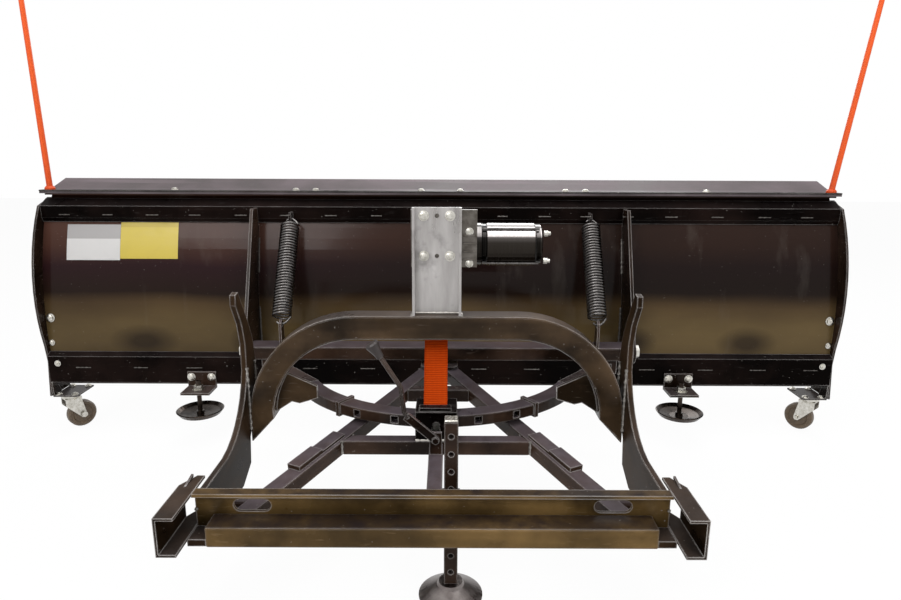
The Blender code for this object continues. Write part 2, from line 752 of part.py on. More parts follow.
def sector_point(radius, degrees):
    turn = math.radians(degrees)
    return radius * math.sin(turn), -radius * math.cos(turn)


def sector_outline(outer, inner, start, end, steps):
    turns = [start + (end - start) * n / steps for n in range(steps + 1)]
    there = [sector_point(outer, turn) for turn in turns]
    back = [sector_point(inner, turn) for turn in reversed(turns)]
    return there + back


def make_trip_frame(body):
    half_y, half_z = TRIP_TUBE_DEPTH / 2, TRIP_TUBE_HEIGHT / 2
    low = (-TRIP_TUBE_HALF, -half_y, TRIP_Z - half_z)
    tube = add("trip_tube", block(low, (TRIP_TUBE_HALF, half_y, TRIP_Z + half_z)), "paint", body)
    soften(tube, 0.004)
    y, z = SPRING_FOOT
    for _, sign in SIDES:
        x = sign * SPRING_X
        foot = TRIP_Z + half_z - 0.002
        ear = [(y - 0.014, foot), (y + 0.020, foot), (y + 0.012, z + 0.006), (y, z + 0.013), (y - 0.012, z + 0.006)]
        fuse(tube, prism(ear, x - 0.003, x + 0.003))
        cut(tube, rod((x - 0.01, y, z), (x + 0.01, y, z), 0.0055, 12))
        bore = rod((sign * (TRIP_TUBE_HALF - 0.035), 0, TRIP_Z), (sign * (TRIP_TUBE_HALF + 0.01), 0, TRIP_Z),
                   TRIP_BOLT_RADIUS + RUN)
        cut(tube, bore)
    cut(tube, rod((0, 0, TRIP_Z - 0.04), (0, 0, TRIP_Z + 0.04), KING_RADIUS + RUN))
    for side, sign in SIDES:
        face = (sign * (RIB_X + RIB_SHEET / 2 + GAP), 0, TRIP_Z)
        shank, head = hex_bolt(face, (sign, 0, 0), TRIP_BOLT_RADIUS, 0.040, 0.0165, 0.012)
        fuse(add(f"trip_bolt_{side}", shank, "zinc", body), head)
    make_sector(body)


def make_sector(body):
    inner = SECTOR_RADIUS - SECTOR_DEPTH
    low, high = SECTOR_BOTTOM_Z, SECTOR_BOTTOM_Z + SECTOR_HEIGHT
    outline = sector_outline(SECTOR_RADIUS, inner, -SECTOR_END, SECTOR_END, 32)
    sector = soften(add("angle_sector", prism(outline, low, high, "Z"), "paint", body), 0.0025)
    for _, sign in SIDES:
        turn = sign * STOP_ANGLE
        collar = sector_outline(SECTOR_RADIUS + 0.004, inner - 0.003, turn - 0.8, turn + 0.8, 1)
        fuse(sector, prism(collar, low - 0.003, high + 0.004, "Z"))
    middle = (low + high) / 2
    for step in (-2, -1, 0, 1, 2):
        turn = Matrix.Rotation(math.radians(step * NOTCH_STEP), 4, "Z")
        slot = block((-NOTCH_WIDTH / 2, -SECTOR_RADIUS - 0.01, middle - NOTCH_WIDTH / 2),
                     (NOTCH_WIDTH / 2, -SECTOR_RADIUS + NOTCH_DEPTH, middle + NOTCH_WIDTH / 2))
        bmesh.ops.transform(slot, matrix=turn, verts=slot.verts)
        cut(sector, slot)
    for side, sign in SIDES:
        start = Vector(sector_point((SECTOR_RADIUS + inner) / 2, SECTOR_END + 0.06))
        end = Vector((TRIP_TUBE_HALF - 0.055, -0.004))
        way = (end - start).normalized()
        radial = Vector(sector_point(1, SECTOR_END))
        half = radial * (SECTOR_DEPTH / 2)
        across = Vector((-way.y, way.x)) * (ARM_WIDTH / 2)
        plan = [start + half, end - across, end + across, start - half]
        arm = prism(mirrored([tuple(spot) for spot in plan], sign), low, high, "Z")
        arm = add(f"sector_arm_{side}", arm, "paint", body)
        pad_x = sorted((sign * (end.x - 0.022), sign * (end.x + 0.022)))
        pad = block((pad_x[0], -0.022, low), (pad_x[1], 0.018, TRIP_Z - TRIP_TUBE_HEIGHT / 2 - GAP))
        fuse(arm, pad)


# ---------------------------------------------------------------- push frame


def push_top(y):
    return PUSH_TOP_Z + PUSH_SLOPE * y


def push_outer(y):
    return PUSH_OUTER_X - PUSH_SPREAD * y


PUSH_WIDE = PUSH_TUBE_WIDTH * math.hypot(1, PUSH_SPREAD)  # a diagonal's width, measured along X


def push_inner(y):
    return push_outer(y) - PUSH_WIDE - GAP


def make_push_frame(body):
    for side, sign in SIDES:
        ends = []
        for y in (PUSH_FRONT_Y, PUSH_REAR_Y):
            ends.append((sign * (push_outer(y) - PUSH_WIDE / 2), y, push_top(y) - PUSH_TUBE_HEIGHT / 2))
        tube = add(f"push_tube_{side}", beam(*ends, PUSH_TUBE_WIDTH, PUSH_TUBE_HEIGHT), "paint", body)
        soften(tube, 0.003)
        outer = sign * (PLATE_X - GAP)
        inner = sign * (push_outer(LIFT_Y) - 0.030)
        fuse(tube, rod((inner, LIFT_Y, LIFT_Z), (outer, LIFT_Y, LIFT_Z), BUSH_RADIUS))
        cut(tube, rod((sign * 0.285, LIFT_Y, LIFT_Z), (sign * 0.40, LIFT_Y, LIFT_Z), LIFT_BOLT_RADIUS + RUN))
        for y, length, raised in PUSH_PADS:
            ends = []
            for spot in (y + length / 2, y - length / 2):
                x = sign * (push_outer(spot) - 0.0145)
                ends.append((x, spot, push_top(spot) + raised / 2 - 0.002))
            fuse(tube, beam(*ends, 0.029, raised + 0.004))
    apex = [(-APEX_HALF, 0.030), (-APEX_HALF, -0.038), (-APEX_HALF + 0.010, -0.050)]
    apex += [(APEX_HALF - 0.010, -0.050), (APEX_HALF, -0.038), (APEX_HALF, 0.030)]
    plate = add("apex_plate", prism(apex, APEX_Z, APEX_Z + APEX_PLATE, "Z"), "paint", body)
    soften(plate, 0.001, 1)
    cut(plate, rod((0, 0, APEX_Z - 0.01), (0, 0, APEX_Z + 0.02), KING_RADIUS + RUN))
    make_king_pin(body)
    for name, middle in (("front_cross_bar", FRONT_BAR_Y), ("mid_cross_tube", MID_TUBE_Y)):
        near, far = middle - CROSS_DEPTH / 2, middle + CROSS_DEPTH / 2
        plan = [(-push_inner(near), near), (push_inner(near), near), (push_inner(far), far), (-push_inner(far), far)]
        top = push_top(middle)
        soften(add(name, prism(plan, top - PUSH_TUBE_HEIGHT, top, "Z"), "paint", body), 0.0025)
    front = MID_TUBE_Y - CROSS_DEPTH / 2 - GAP
    ends = [(0, y, push_top(y) - PUSH_TUBE_HEIGHT / 2) for y in (front - 0.0018, CENTRE_REAR_Y)]
    tube = add("centre_tube", beam(*ends, 2 * CENTRE_HALF, PUSH_TUBE_HEIGHT), "paint", body)
    soften(tube, 0.0025)
    lug = block((-0.012, LUG_Y, push_top(LUG_Y) - 0.010), (0.012, LUG_Y + LUG_SHEET, LEVER_PIVOT_Z + 0.013))
    fuse(tube, lug)
    low = (0, LUG_Y - 0.02, LEVER_PIVOT_Z)
    cut(tube, rod(low, (0, LUG_Y + 0.02, LEVER_PIVOT_Z), LEVER_PIN_RADIUS + RUN, 16))


def make_king_pin(body):
    tube_low, tube_high = TRIP_Z - TRIP_TUBE_HEIGHT / 2, TRIP_Z + TRIP_TUBE_HEIGHT / 2
    plate_top = APEX_Z + APEX_PLATE
    r = KING_RADIUS
    profile = [(0, 0), (0.017, 0), (0.017, 0.014), (r, 0.014)]
    base = APEX_Z - 0.014 - GAP
    profile += [(r, plate_top + GAP - base), (0.020, plate_top + GAP - base)]
    profile += [(0.020, tube_low - GAP - base), (r, tube_low - GAP - base)]
    profile += [(r, tube_high + GAP - base), (0.018, tube_high + GAP - base)]
    profile += [(0.018, tube_high + 0.012 - base), (0, tube_high + 0.012 - base)]
    add("king_pin", turned(profile, (0, 0, base), (0, 0, 1), ROUND), "zinc", body)


def make_lock(push):
    low = push_top(MID_TUBE_Y) + GAP
    top = HOUSING_TOP_Z
    path = [(HOUSING_FRONT_Y, low), (HOUSING_FRONT_Y, top), (HOUSING_REAR_Y, top), (HOUSING_REAR_Y, low)]
    outline = sheet(list(reversed(path)), HOUSING_SHEET)
    housing = add("lock_housing", prism(outline, -HOUSING_HALF, HOUSING_HALF), "paint", push)
    bar = block((STRAP_X - 0.032, -0.368, top - 0.001), (STRAP_X + 0.032, -0.350, top + 0.007))
    fuse(housing, bar)
    z = SECTOR_BOTTOM_Z + SECTOR_HEIGHT / 2
    cut(housing, rod((0, HOUSING_FRONT_Y - 0.01, z), (0, HOUSING_FRONT_Y + 0.01, z), PIN_RADIUS + RUN, 16))
    pin_body = empty("pin_body", (0, PIN_TAIL_Y, z), push)
    length = PIN_TIP_Y - PIN_TAIL_Y
    profile = [(0, 0), (0.009, 0), (0.009, 0.006), (PIN_RADIUS, 0.006), (PIN_RADIUS, length - 0.003),
               (PIN_RADIUS - 0.002, length), (0, length)]
    add("lock_pin", turned(profile, (0, PIN_TAIL_Y, z), (0, 1, 0), 16), "zinc", pin_body)
    lever_body = empty("lever_body", (0, LUG_Y, LEVER_PIVOT_Z), push)
    y = LUG_Y - GAP - LEVER_SHEET / 2
    end = LEVER_ROUTE[0]
    way = Vector((end[0], end[1] - LEVER_PIVOT_Z)).normalized()
    side = Vector((-way.y, way.x)) * 0.008
    centre = Vector((0, LEVER_PIVOT_Z))
    tip = Vector(end) + way * 0.006
    turn = math.degrees(math.atan2(way.y, way.x))
    outline = arc(tuple(centre), 0.008, turn + 90, turn + 270, 8)
    outline += [tuple(tip - side), tuple(tip + side)]
    bar = add("lock_lever", prism(outline, y - LEVER_SHEET / 2, y + LEVER_SHEET / 2, "Y"), "paint", lever_body)
    fuse(bar, bent_rod([(x, y, z) for x, z in LEVER_ROUTE], ROD_RADIUS))
    near = (0, y - LEVER_SHEET / 2 - 0.001, LEVER_PIVOT_Z)
    fuse(bar, rod(near, (0, LUG_Y + LUG_SHEET + 0.0005, LEVER_PIVOT_Z), LEVER_PIN_RADIUS, 16))
    fuse(bar, turned([(0, 0), (0.0075, 0), (0.0075, 0.005), (0, 0.005)],
                     (0, y - LEVER_SHEET / 2 + 0.0005, LEVER_PIVOT_Z), (0, -1, 0), 6))
    last, before = LEVER_ROUTE[-1], LEVER_ROUTE[-2]
    reach = Vector((last[0] - before[0], 0, last[1] - before[1])).normalized()
    base = Vector((last[0], y, last[1])) + reach * GAP
    length = KNOB_LENGTH
    profile = [(0, 0), (0.0075, 0), (0.0080, 0.008), (0.0135, length - 0.004), (0.0115, length), (0, length)]
    knob = add("lever_knob", turned(profile, base, reach, ROUND), "rubber", lever_body)
    shade_round(knob)


def make_jack(push):
    half = JACK_SIDE / 2
    clear = half + JACK_RUN
    wall = clear + SLEEVE_WALL
    sleeve = block((JACK_X - wall, JACK_Y - wall, SLEEVE_BOTTOM_Z), (JACK_X + wall, JACK_Y + wall, SLEEVE_TOP_Z))
    sleeve = add("jack_sleeve", sleeve, "paint", push)
    cut(sleeve, block((JACK_X - clear, JACK_Y - clear, SLEEVE_BOTTOM_Z - 0.01),
                      (JACK_X + clear, JACK_Y + clear, SLEEVE_TOP_Z + 0.01)))
    face = (JACK_X + wall + 0.010, JACK_Y, SLEEVE_TOP_Z - 0.020)
    shank, head = hex_bolt(face, (1, 0, 0), 0.005, 0.0105, 0.009, 0.007)
    fuse(sleeve, shank, head)
    body = empty("jack_body", (JACK_X, JACK_Y, 0), push)
    bottom = FOOT_HEIGHT + GAP
    leg = block((JACK_X - half, JACK_Y - half, bottom), (JACK_X + half, JACK_Y + half, JACK_TOP_Z))
    leg = soften(add("jack_leg", leg, "paint", body), 0.0015)
    for count in range(JACK_HOLES):
        z = JACK_HOLE_Z + JACK_HOLE_PITCH * count
        cut(leg, rod((JACK_X, JACK_Y - 0.02, z), (JACK_X, JACK_Y + 0.02, z), JACK_HOLE_RADIUS, 12))
    r = FOOT_RADIUS
    profile = [(0, 0), (r - 0.002, 0), (r, 0.002), (r, 0.005), (r - 0.004, 0.0075), (0.024, FOOT_HEIGHT - 0.006),
               (0.021, FOOT_HEIGHT), (0, FOOT_HEIGHT)]
    shade_round(add("jack_foot", turned(profile, (JACK_X, JACK_Y, 0), (0, 0, 1), 40), "steel", body))


# ---------------------------------------------------------------- lift frame


def side_plate_outline():
    near = [(-0.5715, 0.120), (-0.5715, 0.205)]
    near += arc_through((-0.490, 0.205), (-0.375, 0.240), (-0.318, 0.330), 8)
    near += [(-0.317, 0.385), (-0.330, 0.430), (-0.358, 0.474), (-0.356, 0.495), (-0.340, 0.498)]
    far = arc_through((-0.290, 0.425), (-0.258, 0.330), (-0.290, 0.222), 8)
    far += [(-0.322, 0.185), (-0.330, 0.130), (-0.385, 0.106), (-0.555, 0.106)]
    return near + far


def make_side_plates(body):
    for side, sign in SIDES:
        near, far = sign * PLATE_X, sign * (PLATE_X + PLATE_SHEET)
        plate = add(f"side_plate_{side}", prism(side_plate_outline(), near, far), "paint", body)
        soften(plate, 0.001, 1)
        low, high = (near - sign * 0.01, LIFT_Y, LIFT_Z), (far + sign * 0.01, LIFT_Y, LIFT_Z)
        cut(plate, rod(low, high, LIFT_BOLT_RADIUS + RUN))
        face = (far + sign * GAP, LIFT_Y, LIFT_Z)
        reach = PLATE_X + PLATE_SHEET + GAP - (push_outer(LIFT_Y) - 0.022)
        shank, head = hex_bolt(face, (sign, 0, 0), LIFT_BOLT_RADIUS, reach, 0.0135, 0.010)
        fuse(add(f"lift_bolt_{side}", shank, "zinc", body), head)


def slot_shape(x, y_near, y_far):
    """A slot with round ends, long way along X."""
    flat = SLOT_LENGTH / 2 - SLOT_HEIGHT / 2
    outline = arc((x + flat, SLOT_Z), SLOT_HEIGHT / 2, -90, 90, 6)
    outline += arc((x - flat, SLOT_Z), SLOT_HEIGHT / 2, 90, 270, 6)
    return prism(outline, y_near, y_far, "Y")


def make_base(body):
    half = PLATE_X - GAP
    path = [(BASE_REAR_Y, BAR_BOTTOM_Z), (BASE_REAR_Y, BASE_TOP_Z), (BASE_REAR_Y - BASE_LIP, BASE_TOP_Z)]
    angle = add("base_angle", prism(sheet(path, BASE_SHEET), -half, half), "paint", body)
    for _, sign in SIDES:
        cut(angle, slot_shape(sign * SLOT_X, BASE_REAR_Y - 0.02, BASE_REAR_Y + 0.02))
    rear = BASE_REAR_Y - BASE_SHEET - GAP
    bar = block((-BAR_HALF, rear - BAR_DEPTH, BAR_BOTTOM_Z), (BAR_HALF, rear, BAR_TOP_Z))
    soften(add("lower_bar", bar, "paint", body), 0.003)
    for side, sign in SIDES:
        path = [(PLATE_X, BASE_TOP_Z), (GUIDE_OUTER_X, BASE_TOP_Z), (GUIDE_OUTER_X, GUIDE_BOTTOM_Z)]
        path += [(PLATE_X, GUIDE_BOTTOM_Z)]
        outline = mirrored(sheet(list(reversed(path)), GUIDE_SHEET), sign)
        guide = add(f"guide_{side}", prism(outline, GUIDE_FRONT_Y, GUIDE_REAR_Y, "Y"), "paint", body)
        corner = [(0.395, GUIDE_REAR_Y + 0.01), (0.440, GUIDE_REAR_Y + 0.01), (0.440, GUIDE_REAR_Y - 0.050)]
        corner += [(GUIDE_OUTER_X + 0.001, GUIDE_REAR_Y - 0.036)]
        cut(guide, prism(mirrored(corner, sign), 0.12, 0.26, "Z"))
        x = sorted((sign * (BAR_HALF + GAP), sign * (PLATE_X + 0.001)))
        lower = GUIDE_BOTTOM_Z - 0.010
        hook = block((x[0], rear - BAR_DEPTH + 0.004, lower), (x[1], rear, lower + 0.012))
        fuse(guide, hook)


def arch_outline():
    half = PLATE_X - GAP
    outer = ARCH_RADIUS
    inner = ARCH_RADIUS - ARCH_SIDE
    x, z = half - outer, ARCH_TOP_Z - outer
    right = [(half, ARCH_LEG_Z)] + arc((x, z), outer, 0, 90, 14)
    left = [(-a, b) for a, b in reversed(right)]
    inside = arc((-x, z), inner, 180, 90, 12)
    inside = [(-half + ARCH_SIDE, ARCH_LEG_Z + 0.055)] + inside
    inside_right = [(-a, b) for a, b in reversed(inside)]
    return right + left + inside + inside_right


def make_arch(body):
    arch = prism(arch_outline(), ARCH_FRONT_Y, ARCH_FRONT_Y + ARCH_SIDE, "Y")
    arch = soften(add("lift_arch", arch, "paint", body), 0.004)
    face = PLATE_X - GAP - ARCH_SIDE + 0.006
    outline = [(face, 0.332), (0.250, 0.288), (0.250, 0.262), (0.288, 0.250), (0.304, 0.254), (face, 0.228)]
    middle = ARCH_FRONT_Y + ARCH_SIDE / 2
    for _, sign in SIDES:
        fuse(arch, prism(mirrored(outline, sign), middle - GUSSET_SHEET / 2, middle + GUSSET_SHEET / 2, "Y"))


def make_winch(body):
    web_front = CHANNEL_WEB_Y - CHANNEL_SHEET
    low, high = ARCH_TOP_Z + GAP, CHANNEL_TOP_Z
    web = block((-CHANNEL_HALF, web_front, low), (CHANNEL_HALF, CHANNEL_WEB_Y, high))
    channel = add("winch_channel", web, "paint", body)
    side = [(CHANNEL_WEB_Y, low), (CHANNEL_WEB_Y, high), (CHANNEL_WEB_Y - CHANNEL_TOP_DEPTH, high)]
    side += [(CHANNEL_WEB_Y - CHANNEL_FOOT_DEPTH, low)]
    for _, sign in SIDES:
        ends = sorted((sign * (CHANNEL_HALF - CHANNEL_SHEET), sign * CHANNEL_HALF))
        fuse(channel, prism(side, ends[0], ends[1]))
    for z in WINCH_BOLT_Z:
        for x in (-WINCH_BOLT_X, 0, WINCH_BOLT_X):
            cut(channel, rod((x, web_front - 0.01, z), (x, CHANNEL_WEB_Y + 0.01, z), 0.0045, 12))
    rear = CHANNEL_WEB_Y + GAP
    mount = block((-0.052, rear, 0.540), (GEARBOX_OUTER_X, rear + 0.009, 0.655))
    winch = add("winch_body", mount, "steel", body)
    gearbox = block((GEARBOX_INNER_X, rear, 0.540), (GEARBOX_OUTER_X, WINCH_Y + 0.048, 0.622))
    bearing = block((-0.052, rear + 0.004, 0.548), (-0.038, WINCH_Y + 0.034, 0.612))
    fuse(winch, gearbox, bearing)
    for z in WINCH_BOLT_Z:
        for x in (-WINCH_BOLT_X, WINCH_BOLT_X):
            cut(winch, rod((x, rear - 0.01, z), (x, rear + 0.005, z), 0.0045, 12))
    shaft = rod((-0.060, WINCH_Y, WINCH_Z), (GEARBOX_INNER_X + 0.004, WINCH_Y, WINCH_Z), 0.0105 + RUN)
    cut(winch, shaft)
    make_motor(body)
    drum_body = empty("drum_body", (0, WINCH_Y, WINCH_Z), body)
    left, right = -0.0375, GEARBOX_INNER_X - 0.0005
    r, rim = DRUM_RADIUS, 0.040
    profile = [(0, -0.0515), (0.0105, -0.0515), (0.0105, left), (rim, left), (rim, left + 0.003), (r, left + 0.003),
               (r, right - 0.003), (rim, right - 0.003), (rim, right), (0.0105, right), (0.0105, right + 0.0035),
               (0, right + 0.0035)]
    drum = turned(profile, (0, WINCH_Y, WINCH_Z), (1, 0, 0), ROUND)
    shade_round(add("winch_drum", drum, "webbing", drum_body))
    make_strap(body)


def make_motor(body):
    start = GEARBOX_OUTER_X + GAP
    r, end = MOTOR_RADIUS, MOTOR_END_X - start
    profile = [(0, 0), (r, 0), (r, 0.010), (r - 0.002, 0.012), (r - 0.002, 0.020), (r, 0.022),
               (r, end - 0.016), (r - 0.003, end - 0.013), (r - 0.003, end - 0.003), (r - 0.010, end), (0, end)]
    motor = turned(profile, (start, WINCH_Y, WINCH_Z), (1, 0, 0), 32)
    shade_round(add("winch_motor", motor, "steel", body))


def make_strap(body):
    """The lift strap as a plain band: off the drum, down behind the arch and forward to its anchor."""
    off_drum = WINCH_Y - DRUM_RADIUS - 0.0005 - STRAP_THICK
    behind = ARCH_FRONT_Y + ARCH_SIDE + 0.0022
    path = [(off_drum, WINCH_Z), (behind, ARCH_TOP_Z - 0.005), (behind, ARCH_TOP_Z - ARCH_SIDE + 0.003),
            (-0.3455, HOUSING_TOP_Z + GAP + 0.0012)]
    band = prism(sheet(path, STRAP_THICK), STRAP_X - STRAP_WIDTH / 2, STRAP_X + STRAP_WIDTH / 2)
    add("lift_strap", band, "webbing", body)


# ---------------------------------------------------------------- assembly


def middle_of_box():
    """Where the middle of the bounding box's base lies in the king pin's coordinates."""
    half = BLADE_WIDTH / 2
    lean = math.radians(MARKER_LEANS["right"])
    reach = [math.sin(lean) * distance + math.cos(lean) * radius for radius, distance in marker_profile()]
    right = max(half, marker_x() + max(reach))
    front = lip_rear_y() - 0.001 + RUBBER_DEPTH
    return (right - half) / 2, (front + GUIDE_FRONT_Y) / 2


def build():
    global ROOT
    clear_scene()
    x, y = middle_of_box()
    ROOT = empty("plow", (0, 0, 0))
    ROOT.location = (-x, -y, 0)
    push = empty("push_body", (0, 0, 0), ROOT)
    swing = empty("swing_body", (0, 0, TRIP_Z), push)
    blade = empty("blade_body", (0, 0, TRIP_Z), swing)
    lift = empty("lift_body", (0, LIFT_Y, LIFT_Z), push)
    make_moldboard(blade)
    make_stiffeners(blade)
    make_end_plates(blade)
    make_ribs(blade)
    make_deflector(blade)
    make_springs(blade)
    for side, sign in SIDES:
        make_skid(side, sign, blade)
        make_caster(side, sign, blade)
    make_trip_frame(swing)
    make_push_frame(push)
    make_lock(push)
    make_jack(push)
    make_side_plates(lift)
    make_base(lift)
    make_arch(lift)
    make_winch(lift)


build()
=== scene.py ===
"""Looks for the snow plow: camera, light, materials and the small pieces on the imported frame.

Places are written with the king pin at X = Y = 0 and the floor at Z = 0, as the model's source
does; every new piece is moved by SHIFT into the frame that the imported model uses. Metres.
"""

import math
import random

import bmesh
import bpy
from mathutils import Matrix, Vector


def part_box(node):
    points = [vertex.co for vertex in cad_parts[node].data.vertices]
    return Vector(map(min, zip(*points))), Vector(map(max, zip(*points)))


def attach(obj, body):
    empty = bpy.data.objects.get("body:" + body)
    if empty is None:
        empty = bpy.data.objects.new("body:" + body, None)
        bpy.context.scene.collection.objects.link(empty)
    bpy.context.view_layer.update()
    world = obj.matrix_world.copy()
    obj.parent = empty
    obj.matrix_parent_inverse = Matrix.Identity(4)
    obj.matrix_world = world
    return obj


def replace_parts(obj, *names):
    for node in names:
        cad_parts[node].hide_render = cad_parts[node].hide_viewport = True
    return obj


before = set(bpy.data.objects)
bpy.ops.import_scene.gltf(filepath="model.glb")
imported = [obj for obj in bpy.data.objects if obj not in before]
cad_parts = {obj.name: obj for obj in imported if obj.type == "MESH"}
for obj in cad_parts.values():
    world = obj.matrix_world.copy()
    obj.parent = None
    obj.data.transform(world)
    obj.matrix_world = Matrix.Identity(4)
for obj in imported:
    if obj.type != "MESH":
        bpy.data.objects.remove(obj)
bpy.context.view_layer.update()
random.seed(7)

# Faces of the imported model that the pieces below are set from
KING_LOW, KING_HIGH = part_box("king_pin")
SHIFT = Vector(((KING_LOW[0] + KING_HIGH[0]) / 2, (KING_LOW[1] + KING_HIGH[1]) / 2, 0))


def side_of(node, axis, high):
    """One side of a node's box, in the king pin's coordinates."""
    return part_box(node)[1 if high else 0][axis] - SHIFT[axis]


STRIP_TOP = side_of("clamp_strip", 2, True)
STRIP_Y = (side_of("clamp_strip", 1, False) + side_of("clamp_strip", 1, True)) / 2
STIFFENER_Y = side_of("lower_stiffener", 1, False)
FLANGE_Y = side_of("upper_flange", 1, False)
SKID_Y = (side_of("skid_shoe_left", 1, False) + side_of("skid_shoe_left", 1, True)) / 2
CHANNEL_Y = side_of("winch_channel", 1, True) - 0.005
ARCH_TOP = side_of("lift_arch", 2, True)
PLATE_X = side_of("side_plate_right", 0, False)
SIDES = (-1, 1)


# ---------------------------------------------------------------- node helpers


class Shader:
    """A material and short calls for its nodes."""

    def __init__(self, name):
        self.made = bpy.data.materials.new(name)
        self.made.use_nodes = True
        self.tree = self.made.node_tree
        self.main = self.tree.nodes["Principled BSDF"]
        self.place = self.node("ShaderNodeTexCoord").outputs["Object"]

    def node(self, kind, **values):
        made = self.tree.nodes.new(kind)
        for key, value in values.items():
            setattr(made, key, value)
        return made

    def link(self, source, target):
        self.tree.links.new(source, target)

    def set(self, **values):
        names = {"rough": "Roughness", "metal": "Metallic", "specular": "Specular IOR Level",
                 "coat": "Coat Weight", "coat_rough": "Coat Roughness"}
        for key, value in values.items():
            self.main.inputs[names[key]].default_value = value

    def scaled(self, scale):
        mapping = self.node("ShaderNodeMapping")
        mapping.inputs["Scale"].default_value = scale
        self.link(self.place, mapping.inputs["Vector"])
        return mapping.outputs[0]

    def noise(self, scale, detail=4, stretch=None, rough=0.55):
        made = self.node("ShaderNodeTexNoise")
        made.inputs["Scale"].default_value = scale
        made.inputs["Detail"].default_value = detail
        made.inputs["Roughness"].default_value = rough
        self.link(self.scaled(stretch) if stretch else self.place, made.inputs["Vector"])
        return made.outputs["Fac"]

    def ramp(self, source, stops):
        made = self.node("ShaderNodeValToRGB")
        while len(made.color_ramp.elements) < len(stops):
            made.color_ramp.elements.new(0.5)
        for element, (place, colour) in zip(made.color_ramp.elements, stops):
            element.position = place
            element.color = (*colour, 1) if isinstance(colour, tuple) else (colour,) * 3 + (1,)
        self.link(source, made.inputs[0])
        return made.outputs[0]

    def mix(self, factor, one, two, blend="MIX"):
        made = self.node("ShaderNodeMix", data_type="RGBA", blend_type=blend)
        for value, target in ((factor, made.inputs[0]), (one, made.inputs[6]), (two, made.inputs[7])):
            if isinstance(value, (int, float)):
                target.default_value = value
            elif isinstance(value, tuple):
                target.default_value = (*value, 1)
            else:
                self.link(value, target)
        return made.outputs[2]

    def maths(self, operation, one, two=0.0, three=0.0):
        made = self.node("ShaderNodeMath", operation=operation)
        for value, target in zip((one, two, three), made.inputs):
            if isinstance(value, (int, float)):
                target.default_value = value
            else:
                self.link(value, target)
        return made.outputs[0]

    def span(self, source, low, high, start=0.0, end=1.0):
        made = self.node("ShaderNodeMapRange")
        made.inputs[1].default_value, made.inputs[2].default_value = low, high
        made.inputs[3].default_value, made.inputs[4].default_value = start, end
        self.link(source, made.inputs[0])
        return made.outputs[0]

    def axes(self, source=None):
        made = self.node("ShaderNodeSeparateXYZ")
        self.link(source or self.place, made.inputs[0])
        return made.outputs

    def up(self):
        """1 where the surface faces up, 0 where it is upright."""
        made = self.node("ShaderNodeNewGeometry")
        return self.span(self.axes(made.outputs["Normal"])[2], 0.35, 0.95)

    def edges(self, radius, low=0.03, high=0.22):
        """1 on a thin line along each edge, from how far a rounded normal leans from the true one."""
        rounded = self.node("ShaderNodeBevel", samples=6)
        rounded.inputs["Radius"].default_value = radius
        flat = self.node("ShaderNodeNewGeometry")
        both = self.node("ShaderNodeVectorMath", operation="DOT_PRODUCT")
        self.link(rounded.outputs[0], both.inputs[0])
        self.link(flat.outputs["Normal"], both.inputs[1])
        return self.span(self.maths("SUBTRACT", 1.0, both.outputs["Value"]), low, high)

    def colour(self, source):
        self.link(source, self.main.inputs["Base Color"])

    def rough(self, source):
        self.link(source, self.main.inputs["Roughness"])

    def bump(self, source, strength, distance):
        made = self.node("ShaderNodeBump")
        made.inputs["Strength"].default_value = strength
        made.inputs["Distance"].default_value = distance
        self.link(source, made.inputs["Height"])
        self.link(made.outputs[0], self.main.inputs["Normal"])


def specks(shader, scale, low, high):
    """Small scattered spots, 1 inside them."""
    return shader.span(shader.noise(scale, 2), low, high)


def paint(name, dark, overlay_colour, rough=0.2, specular=0.09, up_face_share=0.30, edge=(0.52, 0.49, 0.47), line=0.55):
    """Gloss powder coat: slight orange peel, a cloudy mottle and dark streaks of painted reflection, a tint on what
    faces up, scuffs, small chips and painted highlights along the edges.
    """
    s = Shader(name)
    s.set(specular=specular)
    # The cloudy light and dark mottle and the dark streaks stretched along X are painted reflections on the gloss coat.
    clouds = s.noise(5, 5)
    deep = tuple(channel * 0.35 for channel in dark)
    light = tuple(channel * 2.3 + 0.002 for channel in dark)
    body = s.mix(s.span(clouds, 0.40, 0.66), deep, light)
    painted_reflection_streaks = s.span(s.noise(3.2, 3, (0.5, 1, 3.5)), 0.50, 0.62, 0.0, 0.6)
    body = s.mix(painted_reflection_streaks, body, deep)
    # A tint on what faces up: a lighter purple-grey on most coats, near black on the olive coat, where it is painted
    # shade on the tops.
    up_face_mask = s.maths("MULTIPLY", s.up(), s.span(s.noise(38, 5), 0.3, 0.75, up_face_share * 0.5, up_face_share))
    body = s.mix(up_face_mask, body, overlay_colour)
    scuff = s.span(s.noise(26, 6, (1, 1, 7)), 0.62, 0.74, 0, 0.16)
    body = s.mix(scuff, body, tuple(min(1, channel * 3 + 0.05) for channel in dark))
    chips = s.maths("MULTIPLY", specks(s, 160, 0.735, 0.75), 0.5)
    body = s.mix(chips, body, (0.30, 0.28, 0.26))
    # Thin bright lines along every edge, broken by noise: painted highlights.
    painted_edge_highlight = s.maths("MULTIPLY", s.edges(0.0035, 0.012, 0.11), s.span(s.noise(14, 4), 0.3, 0.65, line * 0.35, line))
    s.colour(s.mix(painted_edge_highlight, body, edge))
    smears = s.maths("ADD", s.span(clouds, 0.3, 0.75, rough * 0.7, rough * 1.5), s.maths("MULTIPLY", up_face_mask, 0.3))
    s.rough(s.maths("ADD", smears, scuff))
    s.bump(s.noise(420, 3), 0.12, 0.0006)
    return s.made


